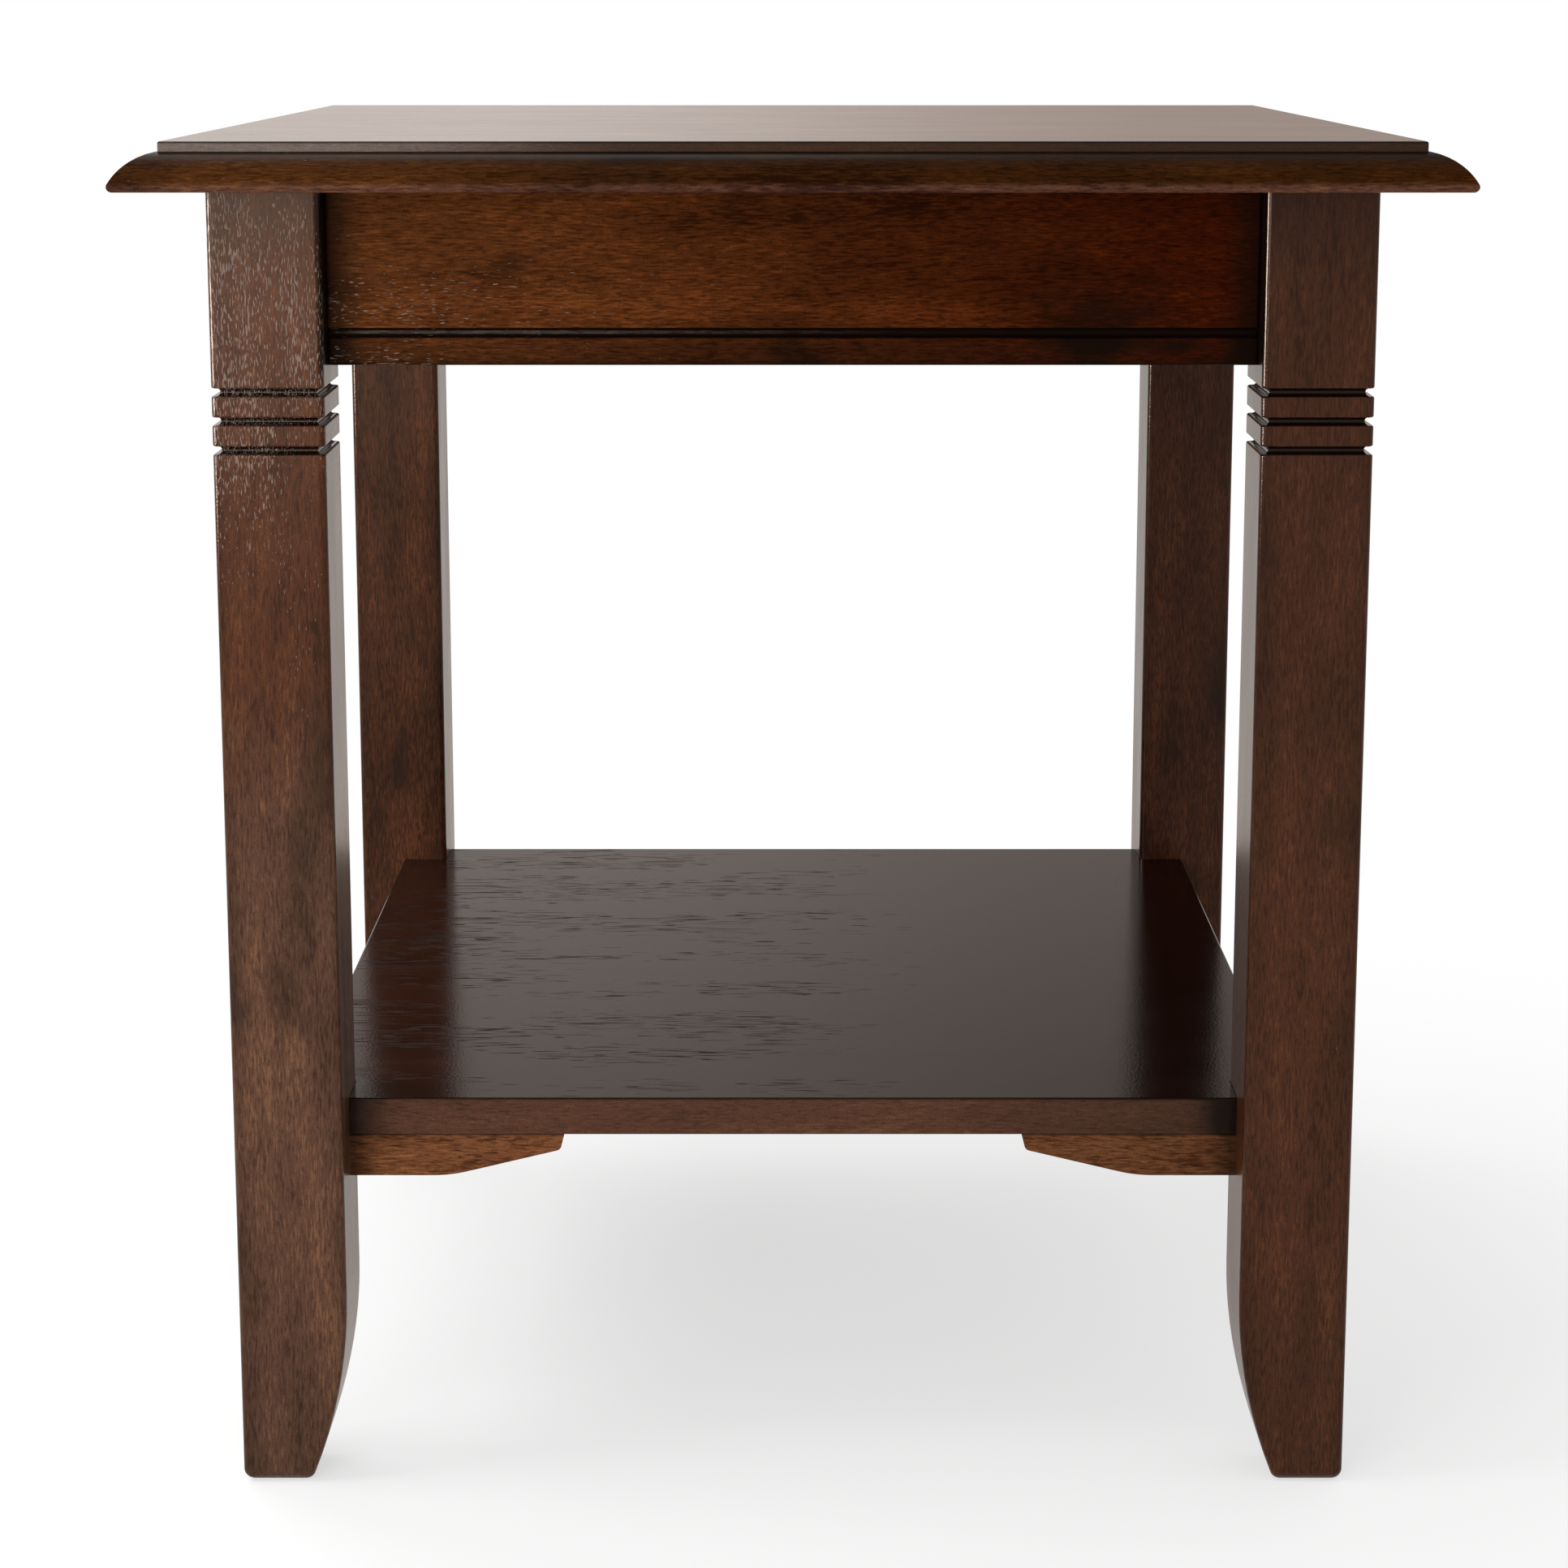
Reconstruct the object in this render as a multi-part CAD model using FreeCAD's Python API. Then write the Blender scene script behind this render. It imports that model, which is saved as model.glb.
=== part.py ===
import FreeCAD, Part
import math
import os

from FreeCAD import Placement, Rotation, Vector

# A square accent table: a board with a mitred edge moulding, four grooved legs with a curved foot,
# four aprons held by dowels and bolted corner blocks, and a notched shelf on curved brackets.
# Millimetres, +Z up, origin on the floor under the middle of the table, front towards -Y.

# Legs
leg_side = 45.0
leg_span = 462.0
leg_length = 541.0
leg_arris_radius = 2.5
leg_head_radius = 1.5
leg_groove_count = 3
leg_groove_width = 3.2
leg_groove_wall = 1.8
leg_groove_pitch = 11.6
leg_groove_drop = 9.5
foot_curve_height = 81.5
foot_curve_radius = 209.0
foot_corner_radius = 5.5

# Top board and its edge moulding
top_thickness = 19.0
panel_overhang = 15.0
panel_arris_radius = 0.9
moulding_projection = 17.0
moulding_reveal = 4.0
moulding_quirk = 1.0
moulding_arc_radius = 23.0
moulding_nose_radius = 2.2
tongue_thickness = 5.0
tongue_length = 6.0

# Aprons
apron_height = 71.0
apron_thickness = 18.0
apron_arris_radius = 1.2
apron_groove_width = 3.8
apron_groove_wall = 1.2
apron_groove_rise = 13.0

# Shelf and its brackets
shelf_height = 161.0
shelf_thickness = 16.0
shelf_inset = 22.5
shelf_arris_radius = 0.9
bracket_length = 90.0
bracket_height = 18.0
bracket_flat = 42.0
bracket_bend_radius = 60.0
bracket_tip_height = 6.8
bracket_tip_slant = 1.7
bracket_tip_radius = 2.6
bracket_setback = 0.5
bracket_margin = 4.0

# Corner blocks
block_height = 45.0
block_thickness = 20.0
block_gap = 4.0

# Dowels
apron_dowel_diameter = 8.0
apron_dowel_depth = 15.0
apron_dowel_rise = 25.0
apron_dowel_drop = 15.0
apron_dowel_wall = 3.5
bracket_dowel_diameter = 6.0
bracket_dowel_depth = 12.0
bracket_dowel_wall = 1.0
dowel_chamfer = 0.8

# Bolts, nuts and washers that pull the legs to the corner blocks
bolt_diameter = 8.0
bolt_leg_depth = 25.0
bolt_tip_length = 4.0
bolt_end_projection = 3.0
nut_side_count = 6
nut_across_flats = 13.0
nut_height = 6.5
washer_diameter = 18.0
washer_thickness = 1.6

# Wood screws
screw_diameter = 4.0
screw_head_diameter = 8.0
screw_head_height = 2.4
screw_tip_length = 4.0
recess_length = 4.4
recess_width = 1.0
recess_depth = 1.4
block_screw_grip = 7.0
block_screw_bite = 12.0
top_screw_grip = 30.0
top_screw_bite = 12.0
top_screw_offset = 16.0
bracket_screw_grip = 10.0
bracket_screw_bite = 10.0
bracket_screw_wall = 3.0
bracket_screw_count = 2
bracket_screw_pitch = 36.0

# Fits
groove_ease_radius = 0.8
tongue_clearance = 0.2
shelf_clearance = 0.2
dowel_clearance = 0.1
pilot_clearance = 0.1
passage_clearance = 0.5
hole_end_gap = 0.5
cutter_overrun = 5.0
wall_share = 0.8
match_tolerance = 0.001
cut_tolerance = 0.0001

# Places that follow from the sizes above
SIDES = ("front", "right", "rear", "left")
CORNERS = ("front_left", "front_right", "rear_right", "rear_left")
UP = Vector(0, 0, 1)
ALONG = Vector(1, 0, 0)
INWARD = Vector(0, 1, 0)
DIAGONAL = Vector(1, 1, 0).normalize()
ACROSS = Vector(1, -1, 0).normalize()
QUARTER_TURN = 90.0

panel_side = leg_span + 2 * panel_overhang
apron_bottom = leg_length - apron_height
apron_outer = (leg_side - apron_thickness) / 2
apron_inner = apron_outer + apron_thickness
shelf_bottom = shelf_height - shelf_thickness
bracket_outer = shelf_inset + bracket_setback
bracket_thickness = leg_side - bracket_outer - bracket_margin
bracket_middle = bracket_outer + bracket_thickness / 2
bracket_dowel_height = shelf_bottom - bracket_height / 2
bracket_dowel_leg_depth = leg_side - bracket_middle - bracket_dowel_diameter / 2 - bracket_dowel_wall
apron_dowel_leg_depth = leg_side / 2 - apron_dowel_diameter / 2 - apron_dowel_wall
apron_dowel_heights = (apron_bottom + apron_dowel_rise, leg_length - apron_dowel_drop)
bolt_height = sum(apron_dowel_heights) / 2
block_screw_height = leg_length - block_height / 2

# Distances along the corner's diagonal, from where the aprons' inner faces would meet
leg_corner_reach = (leg_side - apron_inner) * math.sqrt(2)
block_near = leg_corner_reach + block_gap
block_far = block_near + block_thickness
block_screw_offset = (block_near + block_far) / math.sqrt(2)


def box(x0, x1, y0, y1, z0, z1):
    """A block between two corners."""
    return Part.makeBox(x1 - x0, y1 - y0, z1 - z0, Vector(x0, y0, z0))


def rod(start, direction, diameter, length):
    """A round bar or a drill's path."""
    return Part.makeCylinder(diameter / 2, length, start, direction)


def prism(points, along):
    """A straight-sided outline pushed along a vector."""
    return Part.Face(Part.makePolygon([*points, points[0]])).extrude(along)


def across_corner(shape):
    """The shape and its mirror image in the corner's diagonal."""
    return [shape, shape.mirror(Vector(0, 0, 0), ACROSS)]


def in_corner(shape, turn):
    """Carries a shape from the corner's own frame to one of the four corners or sides."""
    placed = shape.copy()
    placed.translate(Vector(-leg_span / 2, -leg_span / 2, 0))
    placed.rotate(Vector(0, 0, 0), UP, QUARTER_TURN * turn)
    return placed


def in_all_corners(shapes):
    """One group with the shapes in each of the four corners."""
    return Part.makeCompound([in_corner(s, turn) for turn in range(len(CORNERS)) for s in shapes])


def aimed(shape, seat, direction):
    """Sets a shape made along +Z at a seat, pointing along a direction."""
    placed = shape.copy()
    placed.Placement = Placement(seat, Rotation(UP, direction))
    return placed


def groove_cutter(width, wall, length):
    """A round-bottomed groove along +X through the wood from x = 0, below straight walls from z = 0."""
    radius = width / 2
    start = -cutter_overrun
    left, right = Vector(start, -radius, -wall), Vector(start, radius, -wall)
    top_left, top_right = left + UP * (wall + cutter_overrun), right + UP * (wall + cutter_overrun)
    edges = [
        Part.makeLine(top_left, left),
        Part.Arc(left, Vector(start, 0, -wall - radius), right).toShape(),
        Part.makeLine(right, top_right),
        Part.makeLine(top_right, top_left),
    ]
    return Part.Face(Part.Wire(edges)).extrude(ALONG * (length + 2 * cutter_overrun))


def ease(shape, edges, radius):
    """Rounds the chosen edges."""
    return shape.makeFillet(radius, edges)


def flat_edges(shape, height):
    """The edges that lie level at a height."""
    level = [e for e in shape.Edges if e.BoundBox.ZLength < match_tolerance]
    return [e for e in level if abs(e.BoundBox.ZMin - height) < match_tolerance]


def edge_middle(edge):
    return edge.valueAt((edge.FirstParameter + edge.LastParameter) / 2)


def groove_ease(wall):
    """The rounding at a groove's mouth, kept within its straight wall."""
    return min(groove_ease_radius, wall * wall_share)


# Legs


def leg_blank():
    """The leg before its grooves and holes: both inner faces curve in towards the floor."""
    foot_offset = foot_curve_radius - math.sqrt(foot_curve_radius**2 - foot_curve_height**2)
    middle_height = foot_curve_height / 2
    middle_offset = foot_curve_radius - math.sqrt(foot_curve_radius**2 - middle_height**2)
    toe = Vector(leg_side - foot_offset, 0, 0)
    spring = Vector(leg_side, 0, foot_curve_height)
    corners = [Vector(leg_side, 0, leg_length), Vector(0, 0, leg_length), Vector(0, 0, 0)]
    edges = [
        Part.Arc(toe, Vector(leg_side - middle_offset, 0, middle_height), spring).toShape(),
        Part.makeLine(spring, corners[0]),
        Part.makeLine(corners[0], corners[1]),
        Part.makeLine(corners[1], corners[2]),
        Part.makeLine(corners[2], toe),
    ]
    seen_from_front = Part.Face(Part.Wire(edges)).extrude(INWARD * leg_side)
    front, side = across_corner(seen_from_front)
    blank = front.common(side)
    blank = ease(blank, flat_edges(blank, 0.0), foot_corner_radius)
    uprights = [e for e in blank.Edges if e.BoundBox.ZLength > foot_corner_radius]
    blank = ease(blank, uprights, leg_arris_radius)
    return ease(blank, flat_edges(blank, leg_length), leg_head_radius)


def leg_groove_heights():
    first = apron_bottom - leg_groove_drop
    return [first - leg_groove_pitch * n for n in range(leg_groove_count)]


def grooved(leg):
    """Mills each groove across the four faces, then rounds its mouth."""
    cutter = groove_cutter(leg_groove_width, leg_groove_wall, leg_side)
    lying = aimed(cutter, Vector(0, 0, 0), -INWARD)
    centre = Vector(leg_side / 2, leg_side / 2, 0)
    paths = []
    for height in leg_groove_heights():
        for turn in range(len(SIDES)):
            path = lying.copy()
            path.translate(UP * height)
            path.rotate(centre, UP, QUARTER_TURN * turn)
            paths.append(path)
    milled = leg.cut(paths, cut_tolerance).removeSplitter()
    mouths = []
    for height in leg_groove_heights():
        for wall in (-leg_groove_width / 2, leg_groove_width / 2):
            mouths += [e for e in flat_edges(milled, height + wall) if on_leg_skin(e)]
    arris_loss = leg_arris_radius * (1 - 1 / math.sqrt(2))
    corner_wall = (leg_groove_wall - arris_loss) * math.sqrt(2)
    return ease(milled, mouths, groove_ease(corner_wall))


def on_leg_skin(edge):
    """True for an edge on the leg's faces or arrises, false for one at the back of a groove wall."""
    middle = edge_middle(edge)
    depth = min(min(c, leg_side - c) for c in (middle.x, middle.y))
    return depth < leg_groove_wall / 2


def leg():
    holes = []
    for height in apron_dowel_heights:
        depth = apron_dowel_leg_depth + hole_end_gap
        start = Vector(leg_side - depth, leg_side / 2, height)
        holes += across_corner(rod(start, ALONG, apron_dowel_diameter + dowel_clearance, depth))
    depth = bracket_dowel_leg_depth + hole_end_gap
    start = Vector(leg_side - depth, bracket_middle, bracket_dowel_height)
    holes += across_corner(rod(start, ALONG, bracket_dowel_diameter + dowel_clearance, depth))
    bolt_depth = bolt_leg_depth + hole_end_gap
    bolt_start = Vector(leg_side, leg_side, bolt_height) - DIAGONAL * bolt_depth
    holes.append(rod(bolt_start, DIAGONAL, bolt_diameter + pilot_clearance, bolt_depth))
    return grooved(leg_blank()).cut(holes)


# Aprons


def apron():
    """The front apron in the corner's frame, between the two front legs."""
    start, end = leg_side, leg_span - leg_side
    board = box(start, end, apron_outer, apron_inner, apron_bottom, leg_length)
    arrises = [e for e in board.Edges if e.BoundBox.YMax < apron_outer + apron_arris_radius]
    shown = [e for e in arrises if e.BoundBox.ZMin < leg_length - apron_arris_radius]
    board = ease(board, shown, apron_arris_radius)
    cutter = groove_cutter(apron_groove_width, apron_groove_wall, end - start)
    groove_height = apron_bottom + apron_groove_rise
    board = board.cut(aimed(cutter, Vector(start, apron_outer, groove_height), -INWARD))
    mouths = []
    for wall in (-apron_groove_width / 2, apron_groove_width / 2):
        level = flat_edges(board, groove_height + wall)
        mouths += [e for e in level if edge_middle(e).y < apron_outer + match_tolerance]
    board = ease(board, mouths, groove_ease(apron_groove_wall))
    return board.cut(apron_holes(start, end))


def apron_holes(start, end):
    holes = []
    depth = apron_dowel_depth + hole_end_gap
    for height in apron_dowel_heights:
        for left in (start, end - depth):
            base = Vector(left, leg_side / 2, height)
            holes.append(rod(base, ALONG, apron_dowel_diameter + dowel_clearance, depth))
    bite = block_screw_bite + hole_end_gap
    reach = apron_inner + block_screw_offset
    for along in (reach, leg_span - reach):
        base = Vector(along, apron_inner - bite, block_screw_height)
        holes.append(rod(base, INWARD, screw_diameter + pilot_clearance, bite))
    return holes


# Corner blocks


def block_top_screw_places():
    """The two points, in plan, where screws rise through a corner block into the top."""
    middle = Vector(apron_inner, apron_inner, 0) + DIAGONAL * (block_near + block_far) / 2
    return [middle + ACROSS * top_screw_offset, middle - ACROSS * top_screw_offset]


def corner_block():
    near, far = block_near * math.sqrt(2), block_far * math.sqrt(2)
    bottom = leg_length - block_height
    plan = [(0, near), (near, 0), (far, 0), (0, far)]
    points = [Vector(apron_inner + x, apron_inner + y, bottom) for x, y in plan]
    block = prism(points, UP * block_height)
    bolt_start = Vector(apron_inner, apron_inner, bolt_height) + DIAGONAL * block_near
    holes = [rod(bolt_start, DIAGONAL, bolt_diameter + passage_clearance, block_thickness)]
    passage = screw_diameter + passage_clearance
    head_room = screw_head_diameter + passage_clearance
    face = Vector(apron_inner + block_screw_offset, apron_inner, block_screw_height)
    holes += across_corner(rod(face, INWARD, passage, block_screw_grip))
    seat = face + INWARD * block_screw_grip
    holes += across_corner(rod(seat, INWARD, head_room, far))
    for place in block_top_screw_places():
        seat = place + UP * (leg_length - top_screw_grip)
        holes.append(rod(seat, UP, passage, top_screw_grip))
        holes.append(rod(seat, -UP, head_room, block_height))
    return block.cut(holes)


# Top


def top_panel():
    half = panel_side / 2
    panel = box(-half, half, -half, half, leg_length, leg_length + top_thickness)
    panel = ease(panel, flat_edges(panel, leg_length + top_thickness), panel_arris_radius)
    depth = tongue_length + hole_end_gap
    lower = tongue_bottom() - tongue_clearance / 2
    upper = tongue_bottom() + tongue_thickness + tongue_clearance / 2
    core = half - depth
    slot = box(-half, half, -half, half, lower, upper).cut(box(-core, core, -core, core, lower, upper))
    pilots = []
    for place in block_top_screw_places():
        base = place + UP * leg_length
        bite = top_screw_bite + hole_end_gap
        pilots.append(rod(base, UP, screw_diameter + pilot_clearance, bite))
    return panel.cut([slot, *in_all_corners(pilots).Solids])


def tongue_bottom():
    return leg_length + (top_thickness - moulding_reveal - tongue_thickness) / 2


def moulding_profile():
    """The moulding's section, square to the front edge, with the nose towards -Y."""
    height = top_thickness - moulding_reveal
    nose = (moulding_projection - moulding_nose_radius, moulding_nose_radius)
    start = (moulding_quirk, height)
    span = math.dist(start, nose)
    inner_radius = moulding_arc_radius - moulding_nose_radius
    along = (moulding_arc_radius**2 - inner_radius**2 + span**2) / (2 * span)
    aside = math.sqrt(moulding_arc_radius**2 - along**2)
    unit = ((nose[0] - start[0]) / span, (nose[1] - start[1]) / span)
    centre = (start[0] + along * unit[0] + aside * unit[1], start[1] + along * unit[1] - aside * unit[0])
    first = math.atan2(start[1] - centre[1], start[0] - centre[0])
    last = math.atan2(nose[1] - centre[1], nose[0] - centre[0])

    def at(out, up):
        return Vector(0, -panel_side / 2 - out, leg_length + up)

    def on_arc(middle, radius, angle):
        return at(middle[0] + radius * math.cos(angle), middle[1] + radius * math.sin(angle))

    meeting = on_arc(nose, moulding_nose_radius, last)
    under = at(nose[0], 0)
    crown = Part.Arc(at(*start), on_arc(centre, moulding_arc_radius, (first + last) / 2), meeting)
    nosing = Part.Arc(meeting, on_arc(nose, moulding_nose_radius, (last - math.pi / 2) / 2), under)
    tongue = tongue_bottom() - leg_length
    back = [
        under,
        at(0, 0),
        at(0, tongue),
        at(-tongue_length, tongue),
        at(-tongue_length, tongue + tongue_thickness),
        at(0, tongue + tongue_thickness),
        at(0, height),
        at(*start),
    ]
    straights = [Part.makeLine(a, b) for a, b in zip(back, back[1:])]
    return Part.Face(Part.Wire([crown.toShape(), nosing.toShape(), *straights]))


def top_moulding():
    """The front length, mitred at both ends."""
    half = panel_side / 2 + moulding_projection
    length = moulding_profile()
    length.translate(Vector(-half, 0, 0))
    length = length.extrude(ALONG * 2 * half)
    plan = [Vector(-half, -half, leg_length), Vector(half, -half, leg_length), Vector(0, 0, leg_length)]
    return length.common(prism(plan, UP * top_thickness))


# Shelf


def shelf():
    half = leg_span / 2 - shelf_inset
    board = box(-half, half, -half, half, shelf_bottom, shelf_height)
    notch_side = leg_side + shelf_clearance
    notch = box(0, notch_side, 0, notch_side, shelf_bottom, shelf_height)
    board = board.cut(in_all_corners([notch]).Solids)
    rim = []
    for edge in [*flat_edges(board, shelf_bottom), *flat_edges(board, shelf_height)]:
        middle = edge_middle(edge)
        if max(abs(middle.x), abs(middle.y)) > half - match_tolerance:
            rim.append(edge)
    board = ease(board, rim, shelf_arris_radius)
    bite = bracket_screw_bite + hole_end_gap
    pilots = []
    for place in bracket_screw_places():
        base = place + UP * shelf_bottom
        pilots += across_corner(rod(base, UP, screw_diameter + pilot_clearance, bite))
    return board.cut(in_all_corners(pilots).Solids)


def bracket_screw_places():
    """The points, in plan, of the screws up through one bracket."""
    head_room = screw_head_diameter + passage_clearance
    first = leg_side + bracket_dowel_depth + hole_end_gap + bracket_screw_wall + head_room / 2
    steps = [first + bracket_screw_pitch * n for n in range(bracket_screw_count)]
    return [Vector(step, bracket_middle, 0) for step in steps]


def bracket_outline():
    """The bracket seen from the front: flat by the leg, then a bend and a slope up to a slanted tip."""

    def at(out, drop):
        return Vector(leg_side + out, bracket_outer, shelf_bottom - drop)

    bend = at(bracket_flat, bracket_height)
    tip = at(bracket_length - bracket_tip_slant, bracket_tip_height)
    corners = [at(bracket_length, 0), at(0, 0), at(0, bracket_height), bend, tip]
    return Part.Face(Part.makePolygon([*corners, corners[0]])), bend, tip


def bracket():
    """The bracket on the front edge, beside the left leg."""
    outline, bend, tip = bracket_outline()
    blank = outline.extrude(INWARD * bracket_thickness)
    for place, radius in ((bend, bracket_bend_radius), (tip, bracket_tip_radius)):
        through = [e for e in blank.Edges if e.BoundBox.YLength > match_tolerance]
        corner = [e for e in through if edge_middle(e).distanceToLine(place, INWARD) < match_tolerance]
        blank = ease(blank, corner, radius)
    depth = bracket_dowel_depth + hole_end_gap
    start = Vector(leg_side, bracket_middle, bracket_dowel_height)
    holes = [rod(start, ALONG, bracket_dowel_diameter + dowel_clearance, depth)]
    for place in bracket_screw_places():
        seat = place + UP * (shelf_bottom - bracket_screw_grip)
        holes.append(rod(seat, UP, screw_diameter + passage_clearance, bracket_screw_grip))
        holes.append(rod(seat, -UP, screw_head_diameter + passage_clearance, bracket_height))
    return blank.cut(holes)


# Dowels and hardware


def dowel(diameter, length):
    pin = rod(Vector(0, 0, 0), UP, diameter, length)
    return pin.makeChamfer(dowel_chamfer, [*flat_edges(pin, 0.0), *flat_edges(pin, length)])


def apron_dowels():
    pin = dowel(apron_dowel_diameter, apron_dowel_leg_depth + apron_dowel_depth)
    pins = []
    for height in apron_dowel_heights:
        start = Vector(leg_side - apron_dowel_leg_depth, leg_side / 2, height)
        pins += across_corner(aimed(pin, start, ALONG))
    return in_all_corners(pins)


def bracket_dowels():
    pin = dowel(bracket_dowel_diameter, bracket_dowel_leg_depth + bracket_dowel_depth)
    start = Vector(leg_side - bracket_dowel_leg_depth, bracket_middle, bracket_dowel_height)
    return in_all_corners(across_corner(aimed(pin, start, ALONG)))


def block_inner_face():
    """Where the bolt comes out of the corner block, towards the middle of the table."""
    return Vector(apron_inner, apron_inner, bolt_height) + DIAGONAL * block_far


def hanger_bolts():
    leg_corner = Vector(leg_side, leg_side, bolt_height)
    point = leg_corner - DIAGONAL * bolt_leg_depth
    grip = block_gap + block_thickness + washer_thickness + nut_height + bolt_end_projection
    shank_length = bolt_leg_depth - bolt_tip_length + grip
    tip = Part.makeCone(0, bolt_diameter / 2, bolt_tip_length)
    shank = rod(UP * bolt_tip_length, UP, bolt_diameter, shank_length)
    return in_all_corners([aimed(tip.fuse(shank), point, DIAGONAL)])


def hanger_washers():
    bore = bolt_diameter + passage_clearance
    disc = rod(Vector(0, 0, 0), UP, washer_diameter, washer_thickness)
    ring = disc.cut(rod(Vector(0, 0, 0), UP, bore, washer_thickness))
    return in_all_corners([aimed(ring, block_inner_face(), DIAGONAL)])


def hanger_nuts():
    radius = nut_across_flats / (2 * math.cos(math.pi / nut_side_count))
    turns = [2 * math.pi * n / nut_side_count for n in range(nut_side_count)]
    hexagon = prism([Vector(radius * math.cos(t), radius * math.sin(t), 0) for t in turns], UP * nut_height)
    nut = hexagon.cut(rod(Vector(0, 0, 0), UP, bolt_diameter + pilot_clearance, nut_height))
    seat = block_inner_face() + DIAGONAL * washer_thickness
    return in_all_corners([aimed(nut, seat, DIAGONAL)])


def wood_screw(length):
    """A cross-recessed screw along +Z, its head's underside at z = 0."""
    head = rod(UP * -screw_head_height, UP, screw_head_diameter, screw_head_height)
    shank = rod(Vector(0, 0, 0), UP, screw_diameter, length - screw_tip_length)
    tip = Part.makeCone(screw_diameter / 2, 0, screw_tip_length, UP * (length - screw_tip_length))
    floor = -screw_head_height + recess_depth
    half, slim = recess_length / 2, recess_width / 2
    slots = [
        box(-half, half, -slim, slim, -screw_head_height, floor),
        box(-slim, slim, -half, half, -screw_head_height, floor),
    ]
    return head.fuse([shank, tip]).cut(slots)


def block_screws():
    screw = wood_screw(block_screw_grip + block_screw_bite)
    seat = Vector(apron_inner + block_screw_offset, apron_inner + block_screw_grip, block_screw_height)
    return in_all_corners(across_corner(aimed(screw, seat, -INWARD)))


def top_screws():
    screw = wood_screw(top_screw_grip + top_screw_bite)
    seats = [place + UP * (leg_length - top_screw_grip) for place in block_top_screw_places()]
    return in_all_corners([aimed(screw, seat, UP) for seat in seats])


def bracket_screws():
    screw = wood_screw(bracket_screw_grip + bracket_screw_bite)
    screws = []
    for place in bracket_screw_places():
        screws += across_corner(aimed(screw, place + UP * (shelf_bottom - bracket_screw_grip), UP))
    return in_all_corners(screws)


def table():
    """Every piece of the table by name."""
    pieces = {"top_panel": top_panel(), "shelf": shelf()}
    one_leg, one_apron, one_block = leg(), apron(), corner_block()
    one_moulding = top_moulding()
    along_front, along_left = across_corner(bracket())
    for turn, (side, corner) in enumerate(zip(SIDES, CORNERS)):
        before = SIDES[turn - 1]
        pieces[f"leg_{corner}"] = in_corner(one_leg, turn)
        pieces[f"apron_{side}"] = in_corner(one_apron, turn)
        pieces[f"corner_block_{corner}"] = in_corner(one_block, turn)
        pieces[f"shelf_bracket_{side}_{before}"] = in_corner(along_front, turn)
        pieces[f"shelf_bracket_{before}_{side}"] = in_corner(along_left, turn)
        moulding = one_moulding.copy()
        moulding.rotate(Vector(0, 0, 0), UP, QUARTER_TURN * turn)
        pieces[f"top_moulding_{side}"] = moulding
    groups = (
        apron_dowels,
        bracket_dowels,
        hanger_bolts,
        hanger_washers,
        hanger_nuts,
        block_screws,
        top_screws,
        bracket_screws,
    )
    pieces.update({group.__name__: group() for group in groups})
    return pieces


os.makedirs("parts", exist_ok=True)
for name, shape in table().items():
    shape.exportStep(f"parts/{name}.step")
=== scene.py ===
import math
from functools import partial, reduce
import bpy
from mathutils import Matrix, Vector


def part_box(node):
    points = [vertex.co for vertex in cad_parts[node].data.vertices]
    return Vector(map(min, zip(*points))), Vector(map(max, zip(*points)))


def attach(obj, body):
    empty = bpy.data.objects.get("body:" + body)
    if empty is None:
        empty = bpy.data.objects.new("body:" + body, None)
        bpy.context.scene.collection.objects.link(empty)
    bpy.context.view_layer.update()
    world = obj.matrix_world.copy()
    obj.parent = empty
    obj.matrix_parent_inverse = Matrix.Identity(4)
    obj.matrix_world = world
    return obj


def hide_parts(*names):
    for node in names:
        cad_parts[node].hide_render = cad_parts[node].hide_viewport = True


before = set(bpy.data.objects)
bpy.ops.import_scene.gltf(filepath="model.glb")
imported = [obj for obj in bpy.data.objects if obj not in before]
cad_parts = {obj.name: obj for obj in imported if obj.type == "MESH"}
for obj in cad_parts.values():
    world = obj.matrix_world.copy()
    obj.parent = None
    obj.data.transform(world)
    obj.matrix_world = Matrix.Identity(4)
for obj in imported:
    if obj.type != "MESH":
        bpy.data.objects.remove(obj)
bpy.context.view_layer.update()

from types import SimpleNamespace

import bmesh
import bpy
import numpy as np
from bpy.props import FloatProperty, FloatVectorProperty, IntProperty, PointerProperty
from bpy.types import Operator, Panel, PropertyGroup
from mathutils import Vector

bl_info = {
    "name": "Accent table",
    "version": (1, 0, 0),
    "blender": (4, 5, 0),
    "location": "View3D > Sidebar > Table",
    "description": "Stained wood, dowels and hardware of a square accent table, with its studio",
    "category": "Object",
}

BODY = "root"
LEGS = ("leg_front_left", "leg_front_right", "leg_rear_right", "leg_rear_left")

# Turns that lay a pattern's X axis along the wood
ALONG_X = (0.0, 0.0, 0.0)
ALONG_Y = (0.0, 0.0, -math.pi / 2)
ALONG_Z = (0.0, math.pi / 2, 0.0)
ALONG_FALL = (0.0, 0.0, math.pi / 4)
ALONG_RISE = (0.0, 0.0, -math.pi / 4)

# The table's sides in two pairs: the turn of the grain, its axis, the two sides, and the ends of each
PAIRS = (
    (ALONG_X, "X", ("front", "rear"), ("left", "right")),
    (ALONG_Y, "Y", ("left", "right"), ("front", "rear")),
)


# Sizes and colours


def length(name, description, default):
    return FloatProperty(name=name, description=description, default=default, min=0.0, unit="LENGTH")


def amount(name, description, default):
    return FloatProperty(
        name=name, description=description, default=default, min=0.0, max=1.0, subtype="FACTOR"
    )


def power(name, description, default):
    return FloatProperty(name=name, description=description, default=default, min=0.0, unit="POWER")


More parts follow.
